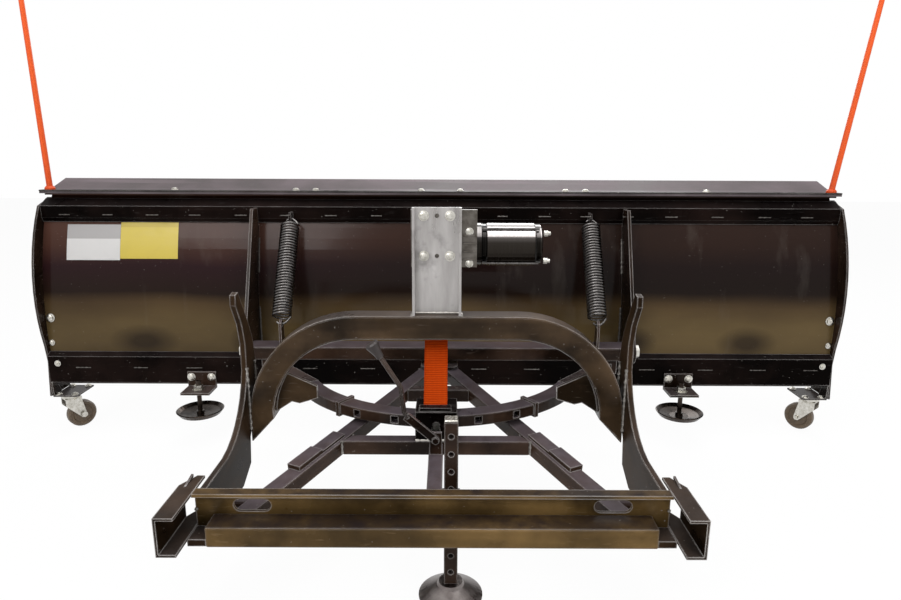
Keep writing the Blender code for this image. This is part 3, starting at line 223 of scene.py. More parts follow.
def mold_paint():
    """The moldboard's gloss coat with painted reflections: purple-black above, warmer and browner below, in bands by
    height, four dark spots on the rear face, and faint streaks.
    """
    s = Shader("moldboard_paint")
    s.set(specular=0.09, coat=0.02, coat_rough=0.05)
    # Height bands with wavering edges, painted reflections of the floor and surroundings: brown below, a black band
    # above the middle, a second brown band near the top.
    wander = s.maths("MULTIPLY", s.maths("SUBTRACT", s.noise(1.6, 3, (1, 1, 0.2)), 0.5), 0.05)
    height = s.span(s.maths("ADD", s.axes()[2], wander), 0.15, 0.62)
    tone = s.ramp(height, [(0.0, (0.088, 0.060, 0.026)), (0.34, (0.094, 0.064, 0.027)), (0.47, (0.058, 0.036, 0.016)),
                           (0.53, (0.012, 0.006, 0.004)), (0.68, (0.016, 0.006, 0.007)), (0.80, (0.046, 0.020, 0.014)),
                           (0.92, (0.060, 0.028, 0.020)), (1.0, (0.020, 0.008, 0.005))])
    clouds = s.noise(2.2, 4, (1, 1, 2.5))
    tone = s.mix(s.span(clouds, 0.38, 0.7, 0.0, 0.40), tone, (0.014, 0.008, 0.006))
    # The black band darkens towards the left: painted reflection.
    painted_dark_band_left = s.maths("MULTIPLY", s.span(s.axes()[0], -0.55, 0.05, 0.0, 0.72), s.span(height, 0.44, 0.56))
    tone = s.mix(painted_dark_band_left, tone, (0.005, 0.003, 0.002))
    # Four dark spots, on the rear face only: painted reflections of the skids and casters.
    rear = s.span(s.axes(s.node("ShaderNodeTexCoord").outputs["Normal"])[1], -0.1, -0.6)
    for x, reach in ((-0.80, 0.085), (-0.515, 0.05), (0.52, 0.06), (0.83, 0.075)):
        off = s.maths("DIVIDE", s.maths("SUBTRACT", s.axes()[0], x + SHIFT.x), reach)
        rise = s.maths("DIVIDE", s.maths("SUBTRACT", s.axes()[2], 0.262), 0.042)
        far = s.maths("SQRT", s.maths("ADD", s.maths("MULTIPLY", off, off), s.maths("MULTIPLY", rise, rise)))
        spot = s.maths("MULTIPLY", s.span(far, 0.35, 1.15, 0.75, 0.0), rear)
        tone = s.mix(spot, tone, (0.010, 0.006, 0.004))
    dots = s.maths("MULTIPLY", specks(s, 190, 0.735, 0.75), 0.35)
    tone = s.mix(dots, tone, (0.22, 0.20, 0.18))
    streak = s.span(s.noise(9, 5, (1.2, 1.2, 0.25)), 0.6, 0.8, 0, 0.18)
    s.colour(s.mix(streak, tone, (0.16, 0.14, 0.12)))
    s.rough(s.maths("ADD", s.span(clouds, 0.3, 0.7, 0.09, 0.2), s.maths("MULTIPLY", streak, 0.8)))
    s.bump(s.maths("ADD", s.noise(330, 3), s.maths("MULTIPLY", s.noise(3.5, 2), 3.0)), 0.1, 0.0007)
    return s.made


def metal(name, dark, light, rough, scale=60, stretch=None, bump=0.1, metallic=1.0):
    s = Shader(name)
    s.set(metal=metallic)
    grain = s.noise(scale, 5, stretch)
    tone = s.mix(s.span(grain, 0.3, 0.7), dark, light)
    stain = s.span(s.noise(17, 5), 0.58, 0.72, 0, 0.6)
    s.colour(s.mix(stain, tone, tuple(channel * 0.45 for channel in dark)))
    s.rough(s.maths("ADD", s.span(grain, 0.3, 0.7, rough * 0.75, rough * 1.3), s.maths("MULTIPLY", stain, 0.25)))
    s.bump(s.noise(scale * 6, 3, stretch), bump, 0.0004)
    return s.made


def motor_finish():
    """Bright machined can: a painted dark reflection band along its side, a painted highlight along its top, black by
    the gearbox.
    """
    s = Shader("motor_finish")
    s.set(metal=1.0)
    along = s.maths("SUBTRACT", s.axes()[0], SHIFT.x)
    tone = s.ramp(s.span(along, 0.080, 0.220), [(0.0, 0.36), (0.07, 0.40), (0.08, 0.05), (0.15, 0.05), (0.16, 1.0),
                                               (0.84, 1.0), (0.86, 0.25), (0.93, 0.25), (0.95, 1.0)])
    # Bands by height: a pale lower rim, a dark middle and a bright top, painted reflection and painted highlight.
    painted_reflection_bands = s.ramp(s.span(s.axes()[2], 0.534, 0.622), [(0.0, (0.26, 0.24, 0.22)), (0.10, (0.045, 0.038, 0.032)),
                   (0.30, (0.020, 0.016, 0.013)), (0.60, (0.030, 0.025, 0.021)), (0.70, (0.09, 0.08, 0.075)),
                   (0.78, (0.42, 0.39, 0.38)), (0.92, (0.58, 0.55, 0.54)), (1.0, (0.40, 0.38, 0.37))])
    turning = s.noise(500, 3, (1, 0.03, 0.03))
    body = s.mix(1.0, painted_reflection_bands, tone, "MULTIPLY")
    s.colour(s.mix(s.span(turning, 0.3, 0.7, 0.0, 0.22), body, (0.05, 0.046, 0.042)))
    s.rough(s.span(turning, 0.3, 0.7, 0.14, 0.3))
    s.bump(turning, 0.15, 0.0002)
    return s.made


def rubber(name, colour, overlay_colour, rough=0.6):
    s = Shader(name)
    s.set(specular=0.35)
    clouds = s.noise(7, 6, (1, 1, 1))
    # The paler colour mixed in by noise is grime on the rubber.
    tone = s.mix(s.span(clouds, 0.35, 0.7), colour, overlay_colour)
    lines = s.span(s.noise(30, 5, (0.06, 1, 1)), 0.55, 0.75, 0, 0.5)
    s.colour(s.mix(lines, tone, tuple(channel * 1.5 for channel in overlay_colour)))
    s.rough(s.span(clouds, 0.3, 0.7, rough * 0.8, rough * 1.2))
    s.bump(s.maths("ADD", s.noise(600, 3), s.noise(40, 4)), 0.25, 0.0006)
    return s.made


def orange_rod():
    s = Shader("marker_plastic")
    s.set(specular=0.2)
    # Darker towards the bottom and brighter up the rod: painted shade.
    height = s.span(s.axes()[2], 0.66, 1.27)
    tone = s.ramp(height, [(0.0, (0.50, 0.060, 0.012)), (0.12, (0.60, 0.078, 0.014)), (1.0, (0.66, 0.092, 0.018))])
    soil = s.span(s.noise(45, 5, (1, 1, 0.3)), 0.55, 0.8, 0, 0.35)
    s.colour(s.mix(soil, tone, (0.40, 0.06, 0.015)))
    s.rough(s.span(s.noise(60, 4), 0.3, 0.7, 0.32, 0.55))
    s.bump(s.noise(500, 3), 0.15, 0.0003)
    return s.made


def webbing():
    """Woven strap: crosswise picks and lengthwise yarns over the piece's own coordinates."""
    s = Shader("strap_webbing")
    s.set(specular=0.04)
    x, _, z = s.axes()
    picks = s.maths("SINE", s.maths("MULTIPLY", z, 2 * math.pi / 0.0032))
    yarns = s.maths("SINE", s.maths("MULTIPLY", x, 2 * math.pi / 0.0026))
    weave = s.maths("MULTIPLY", s.maths("ADD", picks, 1.0), s.maths("ADD", s.maths("MULTIPLY", yarns, 0.4), 1.0))
    shade = s.span(weave, 0.1, 2.4)
    tone = s.mix(shade, (0.25, 0.019, 0.001), (0.56, 0.066, 0.004))
    wear = s.span(s.noise(28, 5, (1, 1, 0.5)), 0.5, 0.75, 0, 0.35)
    s.colour(s.mix(wear, tone, (0.36, 0.05, 0.006)))
    s.rough(s.span(weave, 0.0, 2.6, 0.9, 0.68))
    s.bump(weave, 0.5, 0.0005)
    return s.made


def caster_wheel():
    """A brown plastic wheel: two browns mixed by noise, with soiled spots."""
    s = Shader("caster_wheel_plastic")
    clouds = s.noise(120, 5)
    tone = s.mix(s.span(clouds, 0.3, 0.7), (0.060, 0.038, 0.020), (0.115, 0.078, 0.045))
    soil = s.span(s.noise(320, 4), 0.5, 0.72, 0, 0.6)
    s.colour(s.mix(soil, tone, (0.06, 0.045, 0.032)))
    s.rough(s.span(clouds, 0.3, 0.7, 0.35, 0.6))
    s.bump(s.noise(700, 3), 0.2, 0.0004)
    return s.made


def label(name, ground, band, line):
    """A plain sticker: a ground colour, a soft band along one edge and slight wear, with nothing written."""
    s = Shader(name)
    s.set(specular=0.45)
    wear = s.span(s.noise(30, 5), 0.5, 0.8, 0, 0.25)
    tone = s.mix(wear, ground, tuple(channel * 0.8 for channel in ground))
    height = s.axes()[2]
    edge = s.span(height, line, line + 0.0006)
    s.colour(s.mix(edge, tone, band))
    s.rough(s.span(s.noise(90, 4), 0.3, 0.7, 0.28, 0.42))
    s.bump(s.noise(160, 4), 0.1, 0.0003)
    return s.made


UP_FACE_TINT = (0.15, 0.125, 0.125)
M = {
    "mold": mold_paint(),
    "paint": paint("gloss_paint", (0.015, 0.008, 0.005), UP_FACE_TINT),
    # olive: an olive-brown copy of the black coat, painted reflection of the warm floor on upright faces, with
    # near-black tops as painted shade.
    "olive": paint("gloss_paint_floor_reflection", (0.078, 0.047, 0.016), (0.012, 0.008, 0.008), rough=0.24, up_face_share=1.0, line=0.55),
    # arch: a lighter brown copy of the black coat with brighter edge lines: painted reflection and painted highlights.
    "arch": paint("gloss_paint_arch_painted_reflection", (0.034, 0.021, 0.011), (0.10, 0.085, 0.08), up_face_share=0.45, line=0.9),
    "shelf": paint("gloss_paint_shelf", (0.024, 0.013, 0.008), (0.12, 0.10, 0.115), up_face_share=0.6),
    # A near-black copy of the coat for the flange, stiffener, lock housing and clamp strip: painted shade.
    "shaded_dark": paint("gloss_paint_painted_shade", (0.0035, 0.0015, 0.001), (0.03, 0.024, 0.024), rough=0.25, specular=0.025, line=0.35),
    "side": paint("gloss_paint_sides", (0.018, 0.010, 0.005), (0.10, 0.085, 0.08), rough=0.3, specular=0.02, up_face_share=0.3, line=0.7),
    "channel": metal("channel_metal", (0.26, 0.245, 0.235), (0.46, 0.44, 0.43), 0.30, 40, (1, 1, 0.15), metallic=0.55),
    "weld": metal("weld_metal", (0.16, 0.145, 0.13), (0.42, 0.40, 0.37), 0.38, 300, bump=0.4, metallic=0.7),
    "weld_dim": metal("weld_metal_painted", (0.035, 0.030, 0.026), (0.13, 0.12, 0.11), 0.38, 300, bump=0.4, metallic=0.6),
    "zinc": metal("zinc_plate", (0.42, 0.40, 0.35), (0.72, 0.70, 0.65), 0.28, 140),
    "steel": metal("spring_steel", (0.085, 0.078, 0.074), (0.20, 0.19, 0.185), 0.28, 130),
    "gearbox": metal("gearbox_alloy", (0.075, 0.065, 0.055), (0.17, 0.155, 0.14), 0.38, 70),
    "disc": metal("shoe_steel", (0.018, 0.012, 0.009), (0.07, 0.055, 0.046), 0.30, 55),
    "foot": metal("foot_steel", (0.12, 0.10, 0.095), (0.26, 0.235, 0.225), 0.34, 50),
    "motor": motor_finish(),
    "rubber": rubber("deflector_rubber", (0.046, 0.035, 0.036), (0.120, 0.095, 0.103)),
    "knob": rubber("knob_plastic", (0.018, 0.014, 0.013), (0.06, 0.05, 0.048), 0.35),
    "orange": orange_rod(),
    "strap": webbing(),
    "wheel": caster_wheel(),
    "white": label("white_sticker", (0.46, 0.45, 0.44), (0.27, 0.26, 0.255), 0.535),
    "yellow": label("yellow_sticker", (0.43, 0.33, 0.035), (0.36, 0.27, 0.022), 0.565),
}

FINISHES = {
    "mold": ("moldboard",),
    # Parts given the near-black copy of the coat: painted shade.
    "shaded_dark": ("upper_flange", "lower_stiffener", "lock_housing", "clamp_strip"),
    # Base parts in the olive copy of the coat: painted floor reflection.
    "olive": ("base_angle", "lower_bar"),
    # The arch in its lighter copy of the coat: painted reflection.
    "arch": ("lift_arch",),
    "side": ("side_plate_left", "side_plate_right", "guide_left", "guide_right"),
    "shelf": ("push_tube_left", "push_tube_right", "mid_cross_tube", "centre_tube", "trip_tube", "angle_sector"),
    "channel": ("winch_channel",),
    "gearbox": ("winch_body",),
    "motor": ("winch_motor",),
    "rubber": ("snow_deflector",),
    "knob": ("lever_knob",),
    "orange": ("marker_left", "marker_right"),
    "strap": ("winch_drum",),
    "wheel": ("caster_wheel_left", "caster_wheel_right"),
    "steel": ("trip_spring_left", "trip_spring_right"),
    "disc": ("skid_shoe_left", "skid_shoe_right"),
    "foot": ("jack_foot",),
    "zinc": ("king_pin", "lock_pin", "trip_bolt_left", "trip_bolt_right", "lift_bolt_left", "lift_bolt_right",
             "caster_fork_left", "caster_fork_right", "caster_axle_left", "caster_axle_right"),
}


def finish_nodes():
    finish_of = {node: finish for finish, nodes in FINISHES.items() for node in nodes}
    for name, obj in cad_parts.items():
        chosen = M[finish_of.get(name, "paint")]
        if not obj.material_slots:
            obj.data.materials.append(chosen)
        for place in obj.material_slots:
            place.material = chosen


# ---------------------------------------------------------------- small pieces


class Piece:
    """Gathers many small shapes of one finish into one object that rides on one body."""

    def __init__(self, name, body, finish):
        self.name, self.body, self.finish = name, body, finish
        self.bm = bmesh.new()

    def lathe(self, profile, base, way, sides=20):
        rings = []
        turn = Vector(way).to_track_quat("Z", "Y").to_matrix().to_4x4()
        place = Matrix.Translation(base) @ turn
        for radius, distance in profile:
            ring = []
            for step in range(1 if radius == 0 else sides):
                angle = 2 * math.pi * (step + 0.5) / sides
                ring.append(self.bm.verts.new(place @ Vector((radius * math.cos(angle), radius * math.sin(angle), distance))))
            rings.append(ring)
        self.skin(rings, sides)

    def skin(self, rings, sides):
        for low, high in zip(rings, rings[1:]):
            for step in range(sides):
                after = (step + 1) % sides
                corners = [low[step % len(low)], low[after % len(low)], high[after % len(high)], high[step % len(high)]]
                unique = list(dict.fromkeys(corners))
                if len(unique) > 2:
                    self.bm.faces.new(unique)

    def bolt(self, face, way, radius=0.009, height=0.0065, washer=0.013):
        """A flange nut or hexagon head: washer, chamfered hexagon and the thread's end."""
        self.lathe([(0, 0), (washer, 0), (washer, 0.0016), (radius, 0.0022)], face, way, 20)
        self.lathe([(radius * 1.05, 0.0015), (radius * 1.05, height * 0.85), (radius * 0.85, height),
                    (radius * 0.5, height), (radius * 0.45, height + 0.0012), (0, height + 0.0014)], face, way, 6)

    def tube(self, route, radius, sides=8, ripple=0.0, step_length=None):
        points = [Vector(spot) for spot in route]
        if step_length:
            points = spaced(points, step_length)
        side = (points[1] - points[0]).orthogonal().normalized()
        rings = []
        for count, spot in enumerate(points):
            way = (points[min(count + 1, len(points) - 1)] - points[max(count - 1, 0)]).normalized()
            side = (side - way * side.dot(way)).normalized()
            up = side.cross(way)
            size = radius * (1 + ripple * math.sin(count * 1.9) + ripple * 0.6 * random.uniform(-1, 1))
            rings.append([self.bm.verts.new(spot + (side * math.cos(a) + up * math.sin(a)) * size)
                          for a in (2 * math.pi * n / sides for n in range(sides))])
        self.bm.faces.new(rings[0])
        self.bm.faces.new(list(reversed(rings[-1])))
        self.skin(rings, sides)

    def slab(self, outline, start, end, axis="X"):
        spots = {"X": lambda a, b, t: (t, a, b), "Y": lambda a, b, t: (a, t, b), "Z": lambda a, b, t: (a, b, t)}[axis]
        near = [self.bm.verts.new(spots(a, b, start)) for a, b in outline]
        far = [self.bm.verts.new(spots(a, b, end)) for a, b in outline]
        self.bm.faces.new(near)
        self.bm.faces.new(list(reversed(far)))
        count = len(near)
        for here in range(count):
            after = (here + 1) % count
            self.bm.faces.new((near[here], near[after], far[after], far[here]))

    def block(self, low, high):
        (x0, y0, z0), (x1, y1, z1) = low, high
        self.slab([(x0, y0), (x1, y0), (x1, y1), (x0, y1)], z0, z1, "Z")

    def done(self, bevel=0.0, smooth=40):
        bmesh.ops.recalc_face_normals(self.bm, faces=self.bm.faces)
        bmesh.ops.translate(self.bm, vec=SHIFT, verts=self.bm.verts)
        mesh = bpy.data.meshes.new(self.name)
        self.bm.to_mesh(mesh)
        self.bm.free()
        obj = bpy.data.objects.new(self.name, mesh)
        bpy.context.scene.collection.objects.link(obj)
        mesh.materials.append(M[self.finish])
        mesh.shade_smooth()
        mesh.set_sharp_from_angle(angle=math.radians(smooth))
        if bevel:
            rounding = obj.modifiers.new("rounding", "BEVEL")
            rounding.width, rounding.segments, rounding.limit_method = bevel, 2, "ANGLE"
        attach(obj, self.body)
        return obj


def spaced(points, length):
    """The same route with points at most one length apart."""
    made = [points[0]]
    for here, after in zip(points, points[1:]):
        parts = max(1, math.ceil((after - here).length / length))
        made += [here.lerp(after, n / parts) for n in range(1, parts + 1)]
    return made


def mold_y(z):
    return 0.960 - math.sqrt(0.850**2 - (z - 0.290) ** 2)


def blade_bolts():
    p = Piece("blade_bolts", "blade", "zinc")
    for sign in SIDES:
        for x in (0.707, 0.385, 0.332, 0.052):
            p.bolt((sign * x, STRIP_Y, STRIP_TOP + 0.0003), (0, 0, 1), 0.0075, 0.0055, 0.0095)
        for x, z, size in ((1.047, 0.326, 0.0088), (1.052, 0.257, 0.0062)):
            p.bolt((sign * x, mold_y(z) - 0.0006, z), (0, -1, 0.05), size, size * 0.8, size * 1.35)
        p.bolt((sign * 1.033, STIFFENER_Y - 0.0004, 0.2035), (0, -1, 0), 0.0062, 0.005, 0.0085)
        for x in (0.618, 0.672):
            p.bolt((sign * x, 0.0865, 0.169), (0, -1, 0), 0.0082, 0.0065, 0.0110)
        for x in (1.006, 1.050):
            for y in (0.106, 0.173):
                p.bolt((sign * x, y, 0.1093), (0, 0, 1), 0.0065, 0.005, 0.009)
    p.done()
    for sign, side in zip(SIDES, ("left", "right")):
        n = Piece(f"skid_nuts_{side}", "blade", "zinc")
        n.lathe([(0.0068, 0), (0.0165, 0), (0.0165, 0.0018), (0.0068, 0.0018)], (sign * 0.645, SKID_Y, 0.1432), (0, 0, 1))
        n.lathe([(0.0068, 0), (0.0115, 0), (0.0115, 0.011), (0.0068, 0.011)], (sign * 0.645, SKID_Y, 0.1451), (0, 0, 1), 6)
        n.lathe([(0.0068, 0), (0.0115, 0), (0.0115, 0.0068), (0.0068, 0.0068)], (sign * 0.645, SKID_Y, 0.1298), (0, 0, 1), 6)
        n.done()


def dashes(p, start, end, length, gap, radius=0.0022):
    """Stitch welds: short rippled beads along a line."""
    start, end = Vector(start), Vector(end)
    way = (end - start).normalized()
    reach = (end - start).length
    place = gap / 2
    while place + length < reach:
        here = start + way * place
        p.tube([here, here + way * (length * random.uniform(0.85, 1.1))], radius, 6, 0.28, 0.004)
        place += length + gap * random.uniform(0.9, 1.1)


def blade_welds():
    p = Piece("blade_welds", "blade", "weld_dim")
    y = FLANGE_Y
    dashes(p, (-1.04, y - 0.0004, 0.601), (1.04, y - 0.0004, 0.601), 0.030, 0.085, 0.0013)
    dashes(p, (-1.04, STIFFENER_Y - 0.0004, 0.192), (1.04, STIFFENER_Y - 0.0004, 0.192), 0.040, 0.11, 0.0013)
    for sign in SIDES:
        for edge in (-1, 1):
            x = sign * 0.488 + edge * 0.0052
            route = [(x, mold_y(z) - 0.0016, z) for z in (0.25, 0.30, 0.36)]
            p.tube(route, 0.0026, 6, 0.28, 0.004)
            p.tube([(x, mold_y(z) - 0.0016, z) for z in (0.45, 0.50, 0.54)], 0.0024, 6, 0.28, 0.004)
    p.done()


def lift_welds():
    p = Piece("lift_welds", "lift_frame", "weld")
    for sign in SIDES:
        x = sign * (PLATE_X - 0.0014)
        for y in (-0.3213, -0.2687):
            p.tube([(x, y, 0.20), (x, y, 0.26), (x, y, 0.335)], 0.0028, 6, 0.32, 0.004)
        p.tube([(sign * x0, -0.291, ARCH_TOP + 0.0012) for x0 in (0.0505, 0.0507)], 0.003, 6, 0.3, 0.004)
        dashes(p, (sign * 0.05, -0.3185, ARCH_TOP + 0.001), (sign * 0.05, -0.2935, ARCH_TOP + 0.001), 0.02, 0.002, 0.003)
        for z in (0.195, 0.222):
            p.tube([(sign * 0.3862, -0.6225, z), (sign * 0.3862, -0.6225, z + 0.004)], 0.0026, 6, 0.3, 0.003)
    p.tube([(-0.046, -0.2968, ARCH_TOP + 0.0014), (0.046, -0.2968, ARCH_TOP + 0.0014)], 0.0026, 6, 0.3, 0.004)
    p.done()


def push_welds():
    p = Piece("push_welds", "push_frame", "weld")
    for sign in SIDES:
        for y in (-0.3765, -0.3435):
            x = sign * (0.0304 - 0.5267 * y - 0.0396)
            z = 0.2427 + 0.1167 * -0.36
            p.tube([(x, y, z - 0.027), (x, y, z + 0.0005)], 0.0026, 6, 0.3, 0.004)
        x = sign * 0.0415
        p.tube([(x, -0.3735, 0.2022), (x - sign * 0.083, -0.3735, 0.2022)], 0.0024, 6, 0.3, 0.004)
    p.done()


def winch_parts():
    bolts = Piece("winch_bolts", "lift_frame", "zinc")
    for z in (0.5635, 0.6435):
        for x in (-0.026, 0.026):
            bolts.bolt((x, CHANNEL_Y - 0.0003, z), (0, -1, 0), 0.0078, 0.0065, 0.0105)
    for z in (0.548, 0.612):
        bolts.bolt((0.065, -0.2900, z), (0, -1, 0), 0.006, 0.004, 0.008)
    for y, z in ((-0.268, 0.606), (-0.268, 0.550)):
        bolts.lathe([(0, 0), (0.006, 0), (0.006, 0.008), (0.004, 0.008), (0.004, 0.013), (0, 0.013)], (0.2163, y, z), (1, 0, 0), 12)
    bolts.done()
    ribs = Piece("winch_ribs", "lift_frame", "gearbox")
    for z in (0.556, 0.572, 0.588, 0.604):
        ribs.block((0.052, -0.2935, z - 0.002), (0.078, -0.2898, z + 0.002))
    ribs.done(0.0006)
    rods = Piece("motor_through_bolts", "lift_frame", "steel")
    for turn in (0.9, 2.25, 4.0, 5.4):
        y, z = -0.228 + 0.0462 * math.cos(turn), 0.578 + 0.0462 * math.sin(turn)
        rods.tube([(0.092, y, z), (0.208, y, z)], 0.0022, 8)
    rods.done()


def base_parts():
    """Small gussets on the guides."""
    p = Piece("base_gussets", "lift_frame", "paint")
    for sign in SIDES:
        p.slab([(-0.612, 0.2305), (-0.578, 0.2305), (-0.578, 0.236)], sign * 0.4045, sign * 0.4085, "X")
    p.done(0.0006)


def spring_coils():
    """The trip springs as smooth wire: a hook, close coils and a second hook, on the line between their ears."""
    foot = Vector((0, -0.014, 0.344))
    for sign, side in zip(SIDES, ("left", "right")):
        low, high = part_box(f"trip_spring_{side}")
        middle = (low[0] + high[0]) / 2 - SHIFT.x
        head = Vector((0, high[1] - SHIFT.y - 0.0045, high[2] - 0.0035))
        way = (head - foot).normalized()
        start = foot + way * 0.020
        length = (head - foot).length - 0.040
        third = way.cross(Vector((1, 0, 0)))
        mean = 0.0219
        hook = ((-0.0105, 0.013), (-0.0075, 0.0163), (-0.004, 0.0178), (0.004, 0.0178), (0.0075, 0.0170), (0.0105, 0.0145),
                (0.0150, 0.0105), (0.0185, 0.006), (0.0206, 0.0028))
        flat = [(x, 0, -drop) for x, drop in hook]
        turns, steps = 34, 28
        for step in range(turns * steps + 1):
            turn = 2 * math.pi * step / steps
            flat.append((mean * math.cos(turn), mean * math.sin(turn), length * step / (turns * steps)))
        flat += [(x, 0, length + drop) for x, drop in reversed(hook)]
        route = [start + Vector((middle + a, 0, 0)) + third * b + way * c for a, b, c in flat]
        coil = Piece(f"spring_coil_{side}", "blade", "steel")
        coil.tube(route, 0.0026, 9)
        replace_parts(coil.done(smooth=80), f"trip_spring_{side}")


def jack_parts():
    p = Piece("jack_cap", "jack", "zinc")
    x, y, _ = [(low + high) / 2 - s for low, high, s in zip(*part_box("jack_leg"), SHIFT)]
    top = side_of("jack_leg", 2, True)
    h = 0.0112
    p.block((x - h, y - h, top + 0.0001), (x + h, y + h, top + 0.0035))
    p.done(0.0012)


def strap_piece():
    """The strap: off the drum, down behind the arch, and forward over its anchor bar."""
    drum_y, drum_z, radius = -0.228, 0.578, 0.0345
    route = []
    for step in range(7):
        turn = math.radians(40 - 40 * step / 6)
        route.append((drum_y - radius * math.cos(turn), drum_z + radius * math.sin(turn)))
    route += [(-0.2650, 0.50), (-0.2668, 0.452), (-0.2662, 0.43), (-0.2662, 0.405), (-0.2690, 0.392), (-0.2770, 0.372),
              (-0.310, 0.318), (-0.330, 0.285), (-0.3405, 0.2695), (-0.3445, 0.2662)]
    points = spaced([Vector((0, y, z)) for y, z in route], 0.006)
    low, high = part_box("lift_strap")
    x0, x1 = low[0] - SHIFT.x, high[0] - SHIFT.x
    columns = 9
    bm = bmesh.new()
    rows = []
    length = 0.0
    for count, spot in enumerate(points):
        length += (spot - points[count - 1]).length if count else 0
        way = (points[min(count + 1, len(points) - 1)] - points[max(count - 1, 0)]).normalized()
        out = Vector((0, -way.z, way.y))
        row = []
        for column in range(columns):
            share = column / (columns - 1)
            belly = 0.0006 * math.sin(math.pi * share) + 0.0004 * math.sin(length * 90 + share * 3)
            row.append(bm.verts.new(spot + out * belly + Vector((x0 + (x1 - x0) * share, 0, 0)) + SHIFT))
        rows.append(row)
    for low_row, high_row in zip(rows, rows[1:]):
        for column in range(columns - 1):
            bm.faces.new((low_row[column], low_row[column + 1], high_row[column + 1], high_row[column]))
    mesh = bpy.data.meshes.new("lift_strap_webbing")
    bm.to_mesh(mesh)
    bm.free()
    obj = bpy.data.objects.new("lift_strap_webbing", mesh)
    bpy.context.scene.collection.objects.link(obj)
    thick = obj.modifiers.new("thickness", "SOLIDIFY")
    thick.thickness, thick.offset = 0.0022, 0
    mesh.materials.append(M["strap"])
    mesh.shade_smooth()
    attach(obj, "lift_frame")
    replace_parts(obj, "lift_strap")


def stickers():
    """Two plain stickers on the moldboard's rear face, left side, with nothing written on them."""
    for name, x0, x1, z0, z1 in (("white", -0.996, -0.854, 0.480, 0.572), ("yellow", -0.8535, -0.700, 0.484, 0.578)):
        bm = bmesh.new()
        rows = []
        for n in range(9):
            z = z0 + (z1 - z0) * n / 8
            rows.append([bm.verts.new(Vector((x, mold_y(z) - 0.0004, z)) + SHIFT) for x in (x0, x1)])
        for low, high in zip(rows, rows[1:]):
            bm.faces.new((low[0], low[1], high[1], high[0]))
        mesh = bpy.data.meshes.new(f"sticker_{name}")
        bm.to_mesh(mesh)
        bm.free()
        obj = bpy.data.objects.new(f"sticker_{name}", mesh)
        bpy.context.scene.collection.objects.link(obj)
        thick = obj.modifiers.new("thickness", "SOLIDIFY")
        thick.thickness, thick.offset = 0.0003, 0
        mesh.materials.append(M[name])
        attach(obj, "blade")


# ---------------------------------------------------------------- camera, light and floor


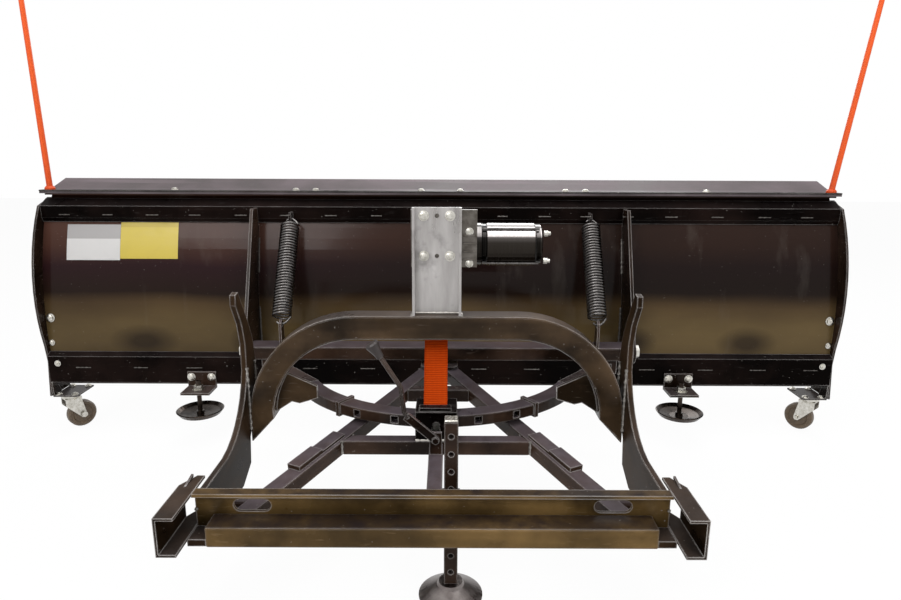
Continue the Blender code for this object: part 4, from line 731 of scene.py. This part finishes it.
def make_stage():
    scene = bpy.context.scene
    world = bpy.data.worlds.new("studio")
    scene.world = world
    world.use_nodes = True
    tree = world.node_tree
    tree.nodes.clear()
    path = tree.nodes.new("ShaderNodeLightPath")
    seen = tree.nodes.new("ShaderNodeMath")
    seen.operation = "MAXIMUM"
    tree.links.new(path.outputs["Is Camera Ray"], seen.inputs[0])
    either = tree.nodes.new("ShaderNodeMath")
    either.operation = "MAXIMUM"
    tree.links.new(path.outputs["Is Glossy Ray"], either.inputs[0])
    tree.links.new(path.outputs["Is Transmission Ray"], either.inputs[1])
    tree.links.new(either.outputs[0], seen.inputs[1])
    soft = tree.nodes.new("ShaderNodeBackground")
    soft.inputs[0].default_value = (0.80, 0.80, 0.82, 1)
    soft.inputs[1].default_value = 0.55
    white = tree.nodes.new("ShaderNodeBackground")
    white.inputs[0].default_value = (1, 1, 1, 1)
    white.inputs[1].default_value = 1.0
    blend = tree.nodes.new("ShaderNodeMixShader")
    out = tree.nodes.new("ShaderNodeOutputWorld")
    tree.links.new(seen.outputs[0], blend.inputs[0])
    tree.links.new(soft.outputs[0], blend.inputs[1])
    tree.links.new(white.outputs[0], blend.inputs[2])
    tree.links.new(blend.outputs[0], out.inputs[0])
    make_floor()
    scene.view_settings.view_transform = "Standard"
    for name, place, aim, size, power in (
        ("key", (-1.6, -2.6, 2.6), (0, 0.2, 0.3), 1.6, 60),
        ("fill", (2.2, -2.2, 1.8), (0, 0.2, 0.3), 1.6, 38),
        ("top", (0.0, -0.3, 3.0), (0, 0, 0.3), 2.4, 60),
        ("front", (0.6, 3.0, 2.0), (0, 0, 0.3), 2.0, 50),
    ):
        lamp = bpy.data.lights.new(name, "AREA")
        lamp.size, lamp.energy = size, power
        obj = bpy.data.objects.new(name, lamp)
        scene.collection.objects.link(obj)
        obj.visible_glossy = name != "fill"
        obj.location = place
        obj.rotation_euler = (Vector(aim) - Vector(place)).to_track_quat("-Z", "Y").to_euler()
    camera = bpy.data.cameras.new("camera")
    camera.lens = 36 * 650 / 901
    camera.sensor_width = 36
    camera.clip_start = 0.05
    obj = bpy.data.objects.new("camera", camera)
    scene.collection.objects.link(obj)
    obj.location = Vector((0.0275, -1.580, 0.770)) + SHIFT
    turn = Matrix.Rotation(math.radians(77), 3, "X") @ Matrix.Rotation(math.radians(0.25), 3, "Z")
    obj.rotation_euler = turn.to_euler()
    scene.camera = obj


def make_floor():
    """A pale floor that is white to the camera but keeps the object's shadow faintly."""
    mesh = bpy.data.meshes.new("floor")
    r = 9.0
    mesh.from_pydata([(-r, -r, -0.0005), (r, -r, -0.0005), (r, r, -0.0005), (-r, r, -0.0005)], [], [(0, 1, 2, 3)])
    floor = bpy.data.objects.new("floor", mesh)
    bpy.context.scene.collection.objects.link(floor)
    made = bpy.data.materials.new("floor_paint")
    made.use_nodes = True
    tree = made.node_tree
    main = tree.nodes["Principled BSDF"]
    main.inputs["Base Color"].default_value = (0.80, 0.80, 0.79, 1)
    main.inputs["Roughness"].default_value = 0.9
    glow = tree.nodes.new("ShaderNodeEmission")
    glow.inputs[0].default_value = (1, 1, 1, 1)
    glow.inputs[1].default_value = 1.0
    path = tree.nodes.new("ShaderNodeLightPath")
    either = tree.nodes.new("ShaderNodeMath")
    either.operation = "MAXIMUM"
    tree.links.new(path.outputs["Is Camera Ray"], either.inputs[0])
    tree.links.new(path.outputs["Is Glossy Ray"], either.inputs[1])
    share = tree.nodes.new("ShaderNodeMath")
    share.operation = "MULTIPLY"
    share.inputs[1].default_value = 0.95
    tree.links.new(either.outputs[0], share.inputs[0])
    blend = tree.nodes.new("ShaderNodeMixShader")
    tree.links.new(share.outputs[0], blend.inputs[0])
    tree.links.new(main.outputs[0], blend.inputs[1])
    tree.links.new(glow.outputs[0], blend.inputs[2])
    tree.links.new(blend.outputs[0], tree.nodes["Material Output"].inputs[0])
    mesh.materials.append(made)


make_stage()
finish_nodes()
blade_bolts()
blade_welds()
lift_welds()
push_welds()
winch_parts()
base_parts()
spring_coils()
jack_parts()
strap_piece()
stickers()
